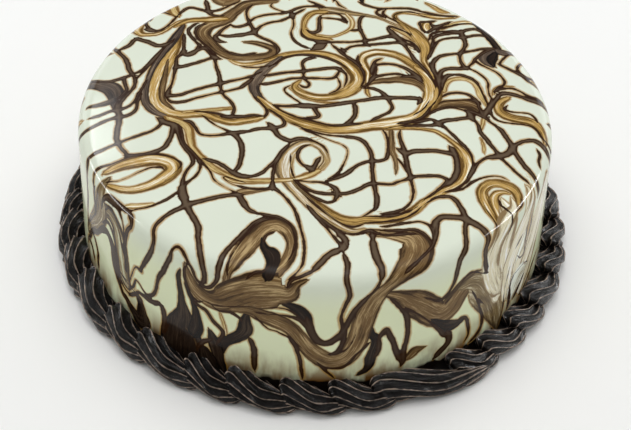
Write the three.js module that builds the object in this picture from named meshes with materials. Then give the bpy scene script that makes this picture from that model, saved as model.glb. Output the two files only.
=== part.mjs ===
// A round cream cake under a poured, marbled chocolate glaze, with a border of piped chocolate cream
// shells round its foot. Millimetres, +Z up, origin at the centre of the underside.
import * as THREE from "three";

// Driving dimensions of the cake
const CAKE_RADIUS = 101.5; // an 8 inch cake
const CAKE_HEIGHT = 70.4;
const RIM_RADIUS = 6; // the glaze's rounded top edge
const CAKE_SEGMENTS = 80;
const RIM_STEPS = 4;

// The cake is a little oval: how much longer its radius is along the long axis, and where that points
const OVAL = 0.6;
const OVAL_TOWARD = 142; // degrees

// Driving dimensions of one piped shell
const PIPE_HALF_WIDTH = 6.9;
const PIPE_HALF_HEIGHT = 7.4;
const RIDGES = 9; // the star nozzle's teeth
const RIDGE_DEPTH = 1.5;
const RIDGE_TURN = 44; // degrees that a ridge winds outward by the middle of a shell
const RIDGE_RETURN = 30; // and back in by its tail
const HEAD_SCALE = 0.93; // the rounded start of a head against its full width
const HEAD_CENTRE = { out: 3.4, up: 7.2 }; // from the wall and from the table
const TAIL = { out: 7.4, up: 6.2, width: 0.62, height: 0.66 }; // and its size as shares of the pipe
const LAST_TAIL = { out: 11.5, up: 6.2, width: 0.3, height: 0.8 }; // the last is drawn out thin
const TAIL_PAST = 0.1; // a tail's rounded tip would lie this share of a shell past the joint
const TAIL_ROUND = 0.4; // share of a shell's length over which it rounds off to that tip
const JOINT_LEAN = 0.45; // a head leans back over the tail behind it: run over rise
const JOINT_HEIGHT = 14; // where a joint's lean starts: the height of a head's top
const GAP = 0.3; // between touching pieces
const SIZE_SPREAD = 0.05; // shells differ by this share
const SHELL_STEPS = [0, 0.06, 0.15, 0.27, 0.4, 0.54, 0.68, 0.82, 0.92, 1]; // shares of a shell's length

// Where each shell's head starts, in degrees counter-clockwise from +X, seen from above. Piping begins
// at the right of the front and runs round to the same place, where the last shell has a long tail.
const FIRST_JOINT = -56.5;
const RIGHT_JOINTS = [-47, -36.9, -27.9, -16.8, -7.4, 2.3];
const BACK_SHELLS = 15;
const LEFT_JOINTS = [173.8, 181.7, 191.6, 203.1, 216.9, 227.8, 241.4, 251.8, 263.9, 274.9, 285.9];
const LAST_JOINT = FIRST_JOINT + 360;

const COLOURS = { glaze: 0xe9eedb, cream: 0x2b211c };

function seededRandom(seed) {
  let state = seed;
  return () => {
    state = (state * 1664525 + 1013904223) % 4294967296;
    return state / 4294967296;
  };
}

function wallRadius(angle) {
  return CAKE_RADIUS + OVAL * Math.cos(2 * (angle - THREE.MathUtils.degToRad(OVAL_TOWARD)));
}

// The cake's outline is turned about the axis, then each point is moved out or in to make the oval.
function cakeGeometry() {
  const outline = new THREE.Path();
  outline.moveTo(0, 0);
  outline.lineTo(CAKE_RADIUS, 0);
  outline.lineTo(CAKE_RADIUS, CAKE_HEIGHT - RIM_RADIUS);
  outline.absarc(CAKE_RADIUS - RIM_RADIUS, CAKE_HEIGHT - RIM_RADIUS, RIM_RADIUS, 0, Math.PI / 2);
  outline.lineTo(0, CAKE_HEIGHT);
  const geometry = new THREE.LatheGeometry(outline.getPoints(RIM_STEPS), CAKE_SEGMENTS);
  geometry.rotateX(Math.PI / 2);
  const position = geometry.getAttribute("position");
  for (let i = 0; i < position.count; i++) {
    const stretch = wallRadius(Math.atan2(position.getY(i), position.getX(i))) / CAKE_RADIUS;
    position.setX(i, position.getX(i) * stretch);
    position.setY(i, position.getY(i) * stretch);
  }
  return geometry;
}

// How full the piped cream is along a shell: a rounded head, then a taper to the tail.
function fullness(along, tailScale, taperFrom) {
  const head = THREE.MathUtils.lerp(HEAD_SCALE, 1, Math.sin(Math.min(1, along / 0.16) * (Math.PI / 2)));
  return head * THREE.MathUtils.lerp(1, tailScale, THREE.MathUtils.smoothstep(along, taperFrom, 1));
}

// The end of a shell rounds off toward a tip.
function roundedTail(along) {
  const toTip = Math.max(0, (along - 1 - TAIL_PAST) / TAIL_ROUND + 1);
  return Math.sqrt(1 - toTip * toTip);
}

// A ridge winds outward, the slower the further it is from the head, and then back in a little.
function winding(along) {
  const outward = 1 - (1 - Math.min(1, along / 0.6)) ** 2;
  const inward = THREE.MathUtils.smoothstep(along, 0.55, 1.05);
  return THREE.MathUtils.degToRad(RIDGE_TURN * outward - RIDGE_RETURN * inward);
}

// A cylinder of crests and grooves is bent round the cake's foot. Each of its points goes to a place
// along the shell, then out from the wall and up, and is kept clear of the wall and off the table.
function shellGeometry(start, end, size, tail) {
  const geometry = new THREE.CylinderGeometry(1, 1, 1, RIDGES * 2, SHELL_STEPS.length - 1);
  const position = geometry.getAttribute("position");
  for (let i = 0; i < position.count; i++) {
    const step = Math.round((position.getY(i) + 0.5) * (SHELL_STEPS.length - 1));
    const along = SHELL_STEPS[step];
    const share = Math.hypot(position.getX(i), position.getZ(i));
    const round = Math.atan2(position.getZ(i), position.getX(i));
    const isGroove = Math.round((round / Math.PI) * RIDGES) % 2 !== 0;
    const wound = round - winding(along);
    const groove = isGroove ? RIDGE_DEPTH / PIPE_HALF_WIDTH : 0;
    const reach = share < 0.5 ? 0 : (1 - groove) * roundedTail(along);
    const slant = THREE.MathUtils.smoothstep(along, 0.1, 1);
    const middleOut = THREE.MathUtils.lerp(HEAD_CENTRE.out, tail.out, slant);
    const middleUp = THREE.MathUtils.lerp(HEAD_CENTRE.up, tail.up, along);
    const wide = size * fullness(along, tail.width, 0.35);
    const high = size * fullness(along, tail.height, 0.2);
    const out = Math.max(GAP, middleOut + wide * PIPE_HALF_WIDTH * reach * Math.cos(wound));
    const up = Math.max(0, (middleUp + PIPE_HALF_HEIGHT * reach * Math.sin(wound)) * high);
    const leanBack = ((up - JOINT_HEIGHT) * JOINT_LEAN) / CAKE_RADIUS;
    const angle = THREE.MathUtils.lerp(start, end - GAP / CAKE_RADIUS, along) - leanBack;
    const radius = wallRadius(angle) + out;
    position.setXYZ(i, radius * Math.cos(angle), radius * Math.sin(angle), up);
  }
  return geometry;
}

function jointAngles() {
  const joints = [FIRST_JOINT, ...RIGHT_JOINTS];
  const from = RIGHT_JOINTS[RIGHT_JOINTS.length - 1];
  for (let i = 1; i < BACK_SHELLS; i++)
    joints.push(THREE.MathUtils.lerp(from, LEFT_JOINTS[0], i / BACK_SHELLS));
  joints.push(...LEFT_JOINTS, LAST_JOINT);
  return joints.map(THREE.MathUtils.degToRad);
}

function namedMesh(name, geometry, material) {
  const mesh = new THREE.Mesh(geometry, material);
  mesh.name = name;
  return mesh;
}

const glaze = new THREE.MeshStandardMaterial({ color: COLOURS.glaze, roughness: 0.15, metalness: 0 });
const cream = new THREE.MeshStandardMaterial({ color: COLOURS.cream, roughness: 0.35, metalness: 0 });

const cake = new THREE.Group();
cake.add(namedMesh("glazed_cake", cakeGeometry(), glaze));

const border = new THREE.Group();
const random = seededRandom(8);
const joints = jointAngles();
for (let i = 0; i + 1 < joints.length; i++) {
  const isLast = i + 2 === joints.length;
  const size = 1 + SIZE_SPREAD * (2 * random() - 1);
  const geometry = shellGeometry(joints[i], joints[i + 1], size, isLast ? LAST_TAIL : TAIL);
  border.add(namedMesh(`shell_${String(i + 1).padStart(2, "0")}`, geometry, cream));
}
cake.add(border);

// The shells differ, so the whole is set over the origin once all of them are in place.
const box = new THREE.Box3().setFromObject(cake);
const middle = box.getCenter(new THREE.Vector3());
cake.position.set(-middle.x, -middle.y, -box.min.z);

export default cake;
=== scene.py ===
# A round cream cake under a poured, marbled chocolate glaze, with a border of piped chocolate cream
# shells round its foot, on a plain pale floor under soft studio light.
import math

import bpy
import numpy as np
from mathutils import Matrix, Vector


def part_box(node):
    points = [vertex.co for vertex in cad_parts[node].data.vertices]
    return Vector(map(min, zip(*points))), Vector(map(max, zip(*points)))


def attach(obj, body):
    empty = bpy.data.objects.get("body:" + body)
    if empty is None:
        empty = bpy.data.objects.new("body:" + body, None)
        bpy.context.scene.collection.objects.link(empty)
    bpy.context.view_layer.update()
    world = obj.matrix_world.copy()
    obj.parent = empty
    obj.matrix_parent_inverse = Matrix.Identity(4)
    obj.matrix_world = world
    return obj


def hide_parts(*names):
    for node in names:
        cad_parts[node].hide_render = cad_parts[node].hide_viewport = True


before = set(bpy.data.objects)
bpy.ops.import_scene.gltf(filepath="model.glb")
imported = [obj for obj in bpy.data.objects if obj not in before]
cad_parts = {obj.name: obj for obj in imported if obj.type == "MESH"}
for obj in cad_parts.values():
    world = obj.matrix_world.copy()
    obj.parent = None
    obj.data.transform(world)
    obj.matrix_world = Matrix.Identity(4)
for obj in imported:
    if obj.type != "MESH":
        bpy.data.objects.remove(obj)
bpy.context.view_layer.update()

bl_info = {
    "name": "Marbled Cream Cake",
    "version": (1, 0, 0),
    "blender": (4, 5, 0),
    "location": "3D View > Sidebar > Cake",
    "description": "Models a glazed cream cake with a piped border, and the stage it stands on",
    "category": "Add Mesh",
}

MM = 0.001

# The cake's middle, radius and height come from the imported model; its outline is a little oval.
CAKE_LOW, CAKE_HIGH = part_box("glazed_cake")
MIDDLE = (CAKE_LOW + CAKE_HIGH) / 2
CAKE_RADIUS = (CAKE_HIGH.x - CAKE_LOW.x + CAKE_HIGH.y - CAKE_LOW.y) / 4
CAKE_HEIGHT = CAKE_HIGH.z - CAKE_LOW.z
OVAL = 0.6 * MM
OVAL_TOWARD = math.radians(142)

# The chocolate lines: each has its width and the points that it runs through, in millimetres from
# the cake's middle. Past the flat top a point's distance goes on over the rim and down the side.
LINES = {
    "left of the top": [
        [2.6, (-89, 41), (-86, 37), (-84, 34), (-82.6, 30.5), (-81.6, 26), (-80, 23)],
        [2.6, (-94, 41), (-92, 39), (-90.5, 38.5)],
        [1.3, (-80, 23), (-77.3, 24.6), (-74.4, 28.2), (-71.6, 33.6), (-68, 40.5), (-66, 44)],
        [1, (-78.4, 19), (-76, 23.2), (-73, 29.3), (-70.1, 35.7), (-68.5, 40)],
        [2, (-80, 22.5), (-83.7, 20.4), (-87.3, 18.6), (-90.1, 17.7), (-95.1, 18), (-98, 19.6), (-101, 23)],
        [2, (-83.5, 20.5), (-82.8, 17), (-82.2, 14.5), (-81.8, 12), (-83.4, 8.6), (-86, 5)],
        [1.8, (-79.6, 22.5), (-78.4, 18.6), (-78.7, 13.6), (-81.6, 7.9), (-84.2, 2.1), (-84.4, -1)],
        [1.6, (-73.2, 19), (-74.4, 15), (-76.6, 8.6), (-77.6, 4.5), (-80.1, 0.9), (-83.7, -1.4),
         (-87.3, -2.3), (-92.3, -5.4), (-96, -7)],
        [1.8, (-75.3, 8.6), (-76.4, 3), (-76.6, -0.7), (-78, -3.6), (-80.9, -5.7), (-84.4, -6.4),
         (-90.1, -9.3), (-94.4, -12.9), (-98, -15), (-102, -16.5)],
        [2.6, (-85, 4), (-85, -1), (-83.6, -5), (-83.4, -10), (-83.7, -15), (-83.4, -20.7), (-81.2, -26.4),
         (-78, -31)],
        [1.8, (-104.4, -38.7), (-97.3, -36.6), (-95.1, -31.5), (-93.7, -30.7), (-89.4, -27.9),
         (-83.7, -23.9), (-79.4, -21.1), (-73.7, -17.9), (-68.7, -15), (-65.9, -11.4), (-65.1, -8)],
        [2.2, (-79, -31), (-73.7, -30.7), (-68, -29), (-63.7, -26.4), (-61.6, -22.1), (-60.5, -16.4),
         (-60.2, -11)],
        [1.4, (-77, -31.5), (-84.4, -36.4), (-90.9, -39.3), (-92.6, -42.3), (-94.4, -45.5), (-98.7, -46.9),
         (-105, -50.9), (-110, -52)],
        [3.4, (-67, -6.8), (-63.7, -9.5), (-60, -11), (-58.7, -13)],
        [1.6, (-58.7, -12.1), (-58, -16.4), (-56.6, -21.4), (-54.4, -26.4), (-51.4, -31.4), (-50.7, -35.5),
         (-52.8, -40.1), (-54.1, -45.1), (-54.3, -50)],
        [1.2, (-57.6, -11.5), (-56.4, -15), (-55.5, -20.7), (-53.7, -25), (-50.1, -30), (-48, -34.5),
         (-47.4, -38.7), (-49.1, -43.7), (-51.9, -47.3), (-54.1, -51)],
        [2, (-48, 40), (-49.5, 42), (-54, 39.3), (-57, 37), (-58.6, 38.5), (-58.6, 41)],
        [1.7, (-58.8, 39), (-61.2, 34.5), (-61.4, 30), (-61.8, 24), (-62.3, 17.1), (-63.7, 11.4), (-64, 8)],
        [2.4, (-63, 13), (-64, 8.5), (-62, 8.6)],
        [1.9, (-61.5, 27.7), (-56.6, 29.3), (-51.6, 31.8), (-47.3, 34.3), (-44.8, 35.4)],
        [2.8, (-46.5, 37), (-44.8, 35.6), (-42.5, 34.6)],
        [1.6, (-44.8, 34.6), (-43.7, 28.6), (-42.3, 23.6), (-41.6, 18.6), (-40.9, 12.9), (-39.4, 9.3),
         (-36.6, 5.7), (-34.8, 0.7), (-35.5, -3.6)],
        [2.1, (-64, 8.3), (-61, 8.4), (-58, 9.3), (-53, 12.1), (-47.3, 15), (-42.3, 17.1), (-36.6, 19.6),
         (-32.3, 21.1), (-27.5, 23.8)],
        [1.8, (-64.4, 7), (-61.8, 4), (-56.6, 4.6), (-51.6, 7.1), (-46.6, 9.3), (-41.6, 11.4),
         (-36.6, 13.2), (-32.3, 15.4), (-28, 20.4)],
        [1.6, (-52, -1.7), (-47.3, -1.9), (-41.6, -2.9), (-36.6, -4.6), (-28, -3.9)],
        [1.8, (-56, -8), (-53, -8.8), (-51, -12.1), (-48.7, -16.4), (-45.1, -17.5), (-40.1, -16.8),
         (-35.1, -15.4), (-28, -13.9)],
        [1, (-50, -3.6), (-48, -4.3), (-43.7, -9.3), (-39.4, -12.5), (-35.1, -15)],
        [2, (-35, -15.4), (-33.6, -17), (-31.6, -20.7), (-30.5, -26.4), (-31.2, -35.9), (-33, -39.6)],
    ],
    "left of the front": [
        [0.9, (-79, -32), (-74.4, -31), (-68, -30.5), (-62.3, -31.2), (-58, -33.4), (-55.5, -35.9),
         (-56.2, -38.7), (-58.7, -43), (-61.6, -46.6)],
        [1.2, (-87.5, -46.9), (-84, -47.2), (-80.9, -46.9), (-76.6, -44.4), (-72.3, -41.2), (-68, -38.6),
         (-63.7, -38.4), (-62.4, -39.8)],
        [3.6, (-54.2, -49), (-54, -53), (-52.5, -59)],
        [2.6, (-53, -58), (-51.6, -61.6), (-48.7, -68), (-46.2, -73.7), (-45.9, -79.4), (-45.1, -85.1),
         (-44.4, -90.9), (-44.8, -95.9), (-46.6, -100.1), (-48.7, -102)],
        [1.1, (-55.5, -53), (-59.4, -57.3), (-63.7, -60.5), (-68, -62.8), (-73, -64), (-75, -64.2)],
        [2.2, (-95.9, -55.5), (-91.6, -54.1), (-87.3, -53.6), (-84.4, -54.8), (-81.6, -58), (-78, -61.6),
         (-75.1, -64.8)],
        [2.8, (-75.1, -64.8), (-74.4, -68), (-75.5, -70.6), (-79.4, -71.2), (-83.7, -73), (-88, -75.1),
         (-93, -78), (-97.3, -82.3), (-102.3, -86.9)],
        [2.6, (-110, -59.5), (-103.7, -63.7), (-101.9, -68), (-103.7, -72.3), (-110, -77.5)],
        [1.6, (-103, -59.5), (-95.9, -62.3), (-95.5, -66.6), (-98, -71.6), (-103.7, -78), (-110, -83.5)],
        [1.3, (-92, -57.6), (-86.6, -58.7), (-84.8, -61.6), (-86.6, -66.6), (-90.1, -72.3), (-95, -77.5)],
        [1, (-86, -55.4), (-84, -57), (-80.5, -61.6), (-80.1, -66.6), (-83, -70.1), (-87, -73)],
        [2.1, (-52, -61.5), (-58, -65.9), (-62.3, -70.9), (-64.4, -75.1), (-65.1, -79.4), (-68.7, -82.6),
         (-73.7, -85.1), (-79.4, -87.3), (-85.1, -89.2)],
        [3, (-84.5, -89), (-87.3, -90), (-88.5, -88.5)],
        [1.4, (-88, -87.8), (-91.6, -87.6), (-97.3, -89.4), (-102.3, -90.9), (-105.1, -90.1), (-107.5, -86)],
        [2.6, (-52, -61.2), (-45.1, -58.4), (-39.4, -56.2), (-34.4, -54.8), (-29, -54.2)],
        [1.1, (-31, -53.6), (-34.4, -51.6), (-38.7, -48.4), (-41.6, -45.1), (-43, -40.9), (-45.1, -37.3),
         (-47.6, -34)],
        [2.2, (-46, -32.6), (-40.1, -35.1), (-36.6, -38), (-33.7, -40.9), (-30.1, -42.8), (-27, -42.6)],
        [1.9, (-31, -55), (-29.4, -58.7), (-27.5, -62)],
        [0.9, (-28, -47), (-32.3, -45.1), (-36.6, -43.4), (-37.4, -44.6), (-33.7, -48), (-28, -50.1)],
        [1.8, (-27, -75.8), (-30.9, -81.6), (-33.7, -85.9), (-35.9, -90.1), (-37.3, -95.1), (-39.4, -99.4),
         (-43, -102.8), (-46.6, -104.4), (-49.8, -103)],
        [1.5, (-49.4, -103), (-50.9, -99.4), (-50.5, -94.4), (-50.9, -90.1), (-52.3, -85.9),
         (-54.4, -83.7), (-57.3, -85.1)],
        [2, (-57.3, -85.1), (-59.4, -87.6), (-65.1, -91.2), (-70.1, -94.1), (-75.1, -96.2), (-79.4, -99.4),
         (-83.7, -102.3), (-88, -103.4)],
        [1.2, (-87, -103.4), (-92.3, -101.6), (-93.7, -98), (-94.4, -94.4), (-96.2, -92.6), (-99.4, -93.7),
         (-103.7, -94.6), (-108, -91.5)],
        [1.9, (-110, -96.5), (-103.7, -98), (-98.7, -98.7), (-95.1, -102.3), (-92.3, -105.1), (-87.5, -108)],
    ],
    "back left of the top": [
        [1.2, (-91, 45.5), (-90.1, 43.7), (-88.8, 41.3), (-87.3, 39.6)],
        [2, (-87.3, 40.1), (-83, 43.7), (-81.2, 47.3), (-80.1, 48.7)],
        [2.4, (-80.1, 48.7), (-77.3, 47.3), (-73.7, 45.5), (-70.9, 43.4), (-68, 43.7), (-65.1, 45.5),
         (-63.5, 48)],
        [1.5, (-77, 66), (-76.6, 59.4), (-74.4, 55.5), (-70.9, 54.4), (-68, 56.9), (-65.5, 60.9),
         (-61.6, 69.4)],
        [3, (-76, 55.5), (-73.5, 54.3)],
        [1.5, (-75.3, 68), (-75, 63)],
        [1.4, (-71.5, 71), (-68, 68), (-65.1, 65.9)],
        [1.8, (-62, 68), (-59.4, 71.6), (-56.6, 72.3), (-52.3, 70.5), (-49.4, 69.4), (-45.1, 70.5),
         (-41.6, 73), (-38.7, 75.9), (-35.9, 77.3)],
        [2.2, (-51.2, 78), (-50.1, 73), (-49.1, 68.7), (-47.3, 66.6), (-43.7, 65.9), (-41, 67)],
        [1.2, (-54, 60.2), (-55.1, 59.4), (-57.6, 55.1), (-55.9, 50.1), (-52.3, 44.4), (-48.7, 40.1),
         (-45.9, 36.6)],
        [1.4, (-49.4, 59.8), (-53, 58), (-54.1, 53.7), (-52.3, 48), (-48, 42.3), (-44.4, 37.3)],
        [1.2, (-59.4, 51.6), (-58.9, 45.9), (-58.7, 39.4)],
        [2.2, (-52.3, 43.7), (-53, 40.1), (-55.1, 37.3), (-58, 36.6)],
        [2.2, (-39.4, 59.4), (-42.3, 55.9), (-44.4, 52.3), (-45.5, 49.8), (-43.7, 47.3), (-41.2, 46.6)],
        [3, (-45.5, 50), (-44.5, 48)],
        [1.8, (-43.7, 51.6), (-39.4, 50.9), (-33.7, 51.9), (-28, 54)],
        [2, (-38.7, 59.4), (-36.6, 58), (-33, 59.1), (-31.2, 61.2)],
        [1.8, (-30, 75.5), (-32.2, 71), (-32, 65.9), (-30.8, 62), (-28.9, 56.6), (-27.1, 52.3),
         (-22.9, 49.4), (-19.3, 46.6), (-17.3, 43), (-17.9, 39.4)],
    ],
    "back of the top": [
        [1.8, (-30.7, 62), (-27.9, 65.5), (-22.1, 68), (-16.4, 69.1), (-12.9, 70.9), (-9.3, 73.7),
         (-5.7, 75.1), (-1.4, 75.5), (2.1, 74.4)],
        [1.2, (-15, 70.1), (-19.3, 72.3), (-21.8, 74.8), (-20.4, 77.5)],
        [1.2, (-12.5, 69), (-11.1, 63.7), (-11.1, 59.4), (-12, 55.1), (-10.7, 50.1), (-7.9, 46.6),
         (-4.3, 44.4)],
        [3, (-12, 69.5), (-11.2, 66.5)],
        [1.8, (-12.1, 67.3), (-16.4, 63.7), (-22.1, 61.6), (-25.7, 58.7), (-27.9, 55.1), (-32.9, 52.6),
         (-40, 50.9)],
        [1.6, (-11.4, 68), (-9.3, 70.1), (-6.4, 73)],
        [1.4, (-7.5, 58.7), (-7.1, 53.7), (-4.3, 50.9), (0, 49.8), (4.3, 49.4)],
        [2.2, (0.7, 68), (0.4, 63.7), (0.7, 59.4), (0, 56.6), (-2.9, 55.5), (-5, 57.3)],
        [1.4, (1, 67.5), (1.8, 69.2), (5.7, 70.3), (9.3, 69.8), (11.4, 67.3), (12.9, 65.1)],
        [1.5, (1.1, 66.9), (5.7, 66.6), (10, 65.9), (12.5, 63.7)],
        [1.8, (21, 69.5), (19.6, 68.4), (18.6, 65.1), (18.6, 60.9), (19.3, 58), (20.7, 53.7), (21.4, 49.4),
         (22.9, 47.3)],
        [2.2, (14.3, 58), (18.6, 58.7)],
        [1.8, (0, 48.7), (5, 49), (10, 49.4), (15.7, 49.8), (20.7, 50.9), (26.4, 52.6), (31.4, 54.8),
         (35, 55.9)],
        [1.8, (22.1, 48), (28.6, 49.1), (36.6, 50.5), (39.4, 49.8), (42.3, 48.4), (44.1, 46.6),
         (45.1, 44.4)],
        [5, (3, 47), (-1.4, 43.9)],
        [1.8, (6.4, 47.3), (9.3, 43.7), (12.1, 40.1), (16.4, 35.9), (19.3, 31.4), (20.7, 27.9),
         (20.7, 22.9), (19.3, 18.6)],
        [2.5, (11, 44.5), (12, 42.5)],
        [1.7, (12, 43), (14.3, 45.9), (17.9, 47.3), (22.1, 47.6)],
        [1.8, (-4.3, 79.4), (-0.7, 77.3), (2.9, 75.1)],
        [1.6, (8.2, 80), (9.3, 77.3), (12.1, 74.8)],
        [1.8, (18.6, 80.1), (22.1, 77.6), (27.1, 75.9), (32.1, 76.2), (40, 76.9), (43, 76.6), (47.3, 74.8)],
        [1.6, (28.9, 75.5), (26.4, 73.4), (27.1, 70.9), (30, 68.7)],
        [1.2, (30.7, 75.1), (29.3, 72.3), (31.4, 69.4), (35.7, 65.9), (40, 62.3), (43, 55.1)],
        [1.5, (31.8, 60.5), (32.3, 62.2), (35.7, 60.9), (40, 58), (42.3, 54.4)],
        [2.8, (31.8, 60), (33.6, 57.3), (35, 55.1), (37.3, 51.6), (38.7, 48.7)],
        [1.8, (38.7, 48.7), (40.1, 45.9), (41.6, 42.3), (43.4, 38), (45.9, 34.4), (48, 30.9), (49.4, 27.9),
         (50.9, 23.6), (51.9, 20)],
        [1.8, (-40, 39.8), (-35.7, 38), (-32.1, 37.6), (-27.5, 39.4)],
        [1.6, (-33, 30), (-30.7, 29.4), (-25.7, 29.4), (-20.7, 30.9)],
        [1.6, (-1.4, 37.3), (-5, 35.9), (-6.4, 33), (-5.7, 29.3), (-5.7, 25), (-5, 22.1), (-3.2, 19.3),
         (-3.6, 17.1), (-5.4, 16.8), (-7.1, 18.2)],
        [2.4, (28.6, 38.6), (25.7, 36.4), (24.6, 32.1), (23.9, 27.9)],
        [2, (25, 33), (28.6, 34.6), (33.6, 34.6), (38.7, 32.3), (42.3, 28.9), (44.4, 26.4), (45.9, 23.6)],
        [1.4, (-22.1, 28.5), (-18.6, 32.3), (-14.3, 36.6), (-8.6, 39.1), (-1.4, 39.4), (4.3, 37.6),
         (10, 34.4), (14.3, 30.1)],
    ],
    "middle of the top": [
        [1.8, (-28.6, 22.9), (-25, 25.4), (-23, 27.5)],
        [1.8, (-32.1, 16.1), (-29.3, 19.6), (-26.4, 22.1)],
        [1.6, (-18.6, 4.3), (-14.3, 0), (-9.3, -2.9), (-4.3, -4.8), (1.4, -6.8), (6.4, -8.2), (10.7, -8.2),
         (20, -6.8)],
        [2.2, (-22.9, 23.9), (-19.3, 24.6), (-14.3, 26.1), (-9.3, 27.1), (-4.3, 28.2), (1.4, 29.6),
         (6.4, 30.7), (9.3, 30.4), (11.4, 28.6)],
        [2, (-23.9, 17.9), (-20, 18.6), (-15, 20.7), (-10, 22.5), (-5, 22.9), (0, 23.2), (5.7, 23.2),
         (8.2, 24.6), (10, 28.6)],
        [1.2, (9.3, 23.6), (10.4, 19.3), (9.3, 15.7), (5.7, 12.9)],
        [1.4, (10, 30), (12.9, 26.4), (13.2, 22.1), (12.1, 17.9)],
        [1.2, (18.2, 40), (17.9, 37.1), (19.6, 33.6)],
        [1.4, (26.4, 32.1), (25.7, 27.9), (24.3, 23.6), (22.1, 19.3), (20, 17.9)],
        [1.8, (23.6, 23.2), (25.7, 25.4), (29.3, 26.8), (34.3, 27.9), (37.9, 27.6)],
        [1.6, (37.3, 25.7), (39.4, 26.4), (42.3, 26.4), (44.4, 25), (45.9, 22.9)],
        [1.6, (20.7, 17.1), (24.3, 17.3), (27.9, 15.4), (30.4, 12.1), (31.8, 8.6), (32.9, 5), (31.4, 1.4),
         (27.9, -1.4), (23.6, -4.6)],
        [2.2, (-18, 4), (-12.9, 3.4), (-7.9, 3.9), (-2.1, 4.3), (2.9, 4.3), (8.6, 5.7), (13.6, 7.1),
         (21.4, 9.3), (26.4, 10.7), (35.7, 11.4), (44.8, 11.4)],
        [2.2, (44.8, 11.4), (45.2, 9.8), (44.2, 7.8)],
        [3, (-8, 4), (0, 4.2)],
        [1, (-11.4, 17.5), (-13.6, 15.5), (-13.3, 13), (-11.4, 10.7), (-8.6, 7.9), (-6.1, 5.4)],
        [2.2, (-1.1, 3.6), (0.4, 0), (1.4, -2.1), (0, -3.6), (-3.6, -3.7)],
        [2.2, (16.4, 6.8), (17.1, 2.9), (16.8, -1.4), (15, -5), (12.9, -7.1)],
        [1.6, (-25.7, 8.6), (-22.1, 2.9), (-20.7, -1.4), (-21.8, -4.3)],
        [2, (-40, -5), (-35.7, -4.6), (-30.7, -4.3), (-26.4, -3.2), (-22.9, -3.6)],
        [2.4, (-20, -8.2), (-18.6, -10), (-15.7, -15.7), (-12.9, -18.2), (-10, -19.3), (-7.1, -17.9),
         (-3.6, -17.5)],
        [1.3, (-3.6, -17.5), (0, -19.3), (3.6, -22.1), (5.7, -26.4)],
        [1.9, (-28, -13.9), (-24.3, -12.1), (-19.3, -11.4), (-15, -10.4), (-13.2, -8.6), (-13.6, -5.7),
         (-16.4, -2.1), (-20, 1.4)],
        [1.2, (-10, -7.9), (-2.9, -11.8), (4.3, -14.6), (11.4, -15.4)],
        [2, (11.4, -15.4), (17.1, -16.1), (20.4, -18.2), (22.1, -21.4), (23.6, -25.7), (24, -30),
         (24.2, -36), (24.6, -42.3), (25.4, -49.4), (26.1, -55.1), (25.4, -60.1)],
        [1.2, (25.4, -60.1), (22.1, -63.4), (18.6, -66.2)],
        [0.9, (-5.7, -11.4), (1.4, -15.4), (7.1, -18.6), (11.4, -20.7), (13.6, -23.6), (13.6, -27.9),
         (12.3, -33), (10, -38.7), (6.4, -42.3)],
        [1.6, (-10.7, -21.4), (-13.6, -26.4), (-15.7, -31.4), (-18.6, -36), (-21.4, -40.1), (-25, -42.6),
         (-29.3, -43.2), (-32.9, -41.2)],
        [1.5, (-14.6, -29.5), (-16.1, -33.7), (-16.8, -39.4), (-17, -44.4), (-17, -49)],
        [1.6, (-2.1, -21.4), (-5, -22.9), (-6.8, -26.4), (-6.8, -30.7), (-5, -34.3), (-2, -36.2)],
        [2.3, (2.5, -29.3), (1.1, -32.1), (0, -35.7), (-1.8, -39)],
        [3.6, (-3, -35.5), (-0.5, -37.5)],
        [2, (35.9, -10.7), (35.5, -13.6), (36.2, -17.9), (37.3, -22.9), (38.4, -31.4), (39.3, -37),
         (40.5, -45.1), (40.9, -50.1), (40.1, -54.4)],
        [1.2, (40.1, -54.4), (38.7, -57.3), (35.9, -60.1), (32.3, -61.9), (28, -63)],
        [1.8, (28.6, -10.7), (30, -13.6), (30.7, -18.6), (30.7, -24.3), (30, -28.6), (27.1, -30.4),
         (24.3, -30.6), (20.7, -31.7), (17.1, -34.6), (13.6, -38.9), (10, -41.7), (5.7, -44.1)],
        [2.6, (34.3, -22.1), (38, -25), (41.6, -23.6), (45.9, -23.2), (50.1, -22.9), (53.7, -23.6),
         (58.5, -24.8)],
        [1.2, (34.6, -28.6), (37.1, -33.6), (38.5, -37)],
    ],
    "front of the top": [
        [1.5, (-17, -49), (-15.7, -50.1), (-12.1, -54.4), (-8.6, -60.1), (-6.4, -65.9), (-4.6, -73.7),
         (-3.2, -80.9), (-2.9, -87.3), (-3.6, -93.7), (-5.7, -97.6), (-9.3, -100.5)],
        [2.4, (-17, -47.5), (-17, -50)],
        [1.5, (-17, -49.8), (-22.1, -50.9), (-26.4, -50.5), (-30.7, -49.4)],
        [2.4, (-30.7, -54.4), (-28.6, -58), (-26.4, -63), (-22.9, -65.1)],
        [1.5, (-22.9, -65.1), (-17.9, -66.2), (-13.6, -67.3), (-10, -70.1), (-7.9, -74.4), (-6.8, -80.1),
         (-7.1, -85.1), (-8.6, -90.1), (-11.4, -95.1)],
        [1.2, (-9.3, -45.9), (-5.7, -50.9), (0, -58), (5.7, -64.4), (11.4, -69.4), (16.4, -71.2),
         (20.7, -69.4)],
        [1.6, (-2.1, -59.4), (1.4, -65.1), (5.7, -69.4), (10, -74.4)],
        [2.8, (10, -74.4), (12.9, -78), (14, -81)],
        [1.3, (-1, -62), (4.3, -70.1), (8.6, -77.3), (11.4, -81.6)],
        [1, (7.1, -70.9), (11.4, -74.4), (16.4, -75.5), (20, -74.8)],
        [4.5, (13, -81.5), (12.5, -84)],
        [3.2, (11.5, -84), (6.4, -88), (3.6, -92.3), (0.7, -96.6)],
        [2.2, (0.7, -96.6), (-2.9, -98.7), (-7.9, -100.9), (-9.5, -104)],
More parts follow.
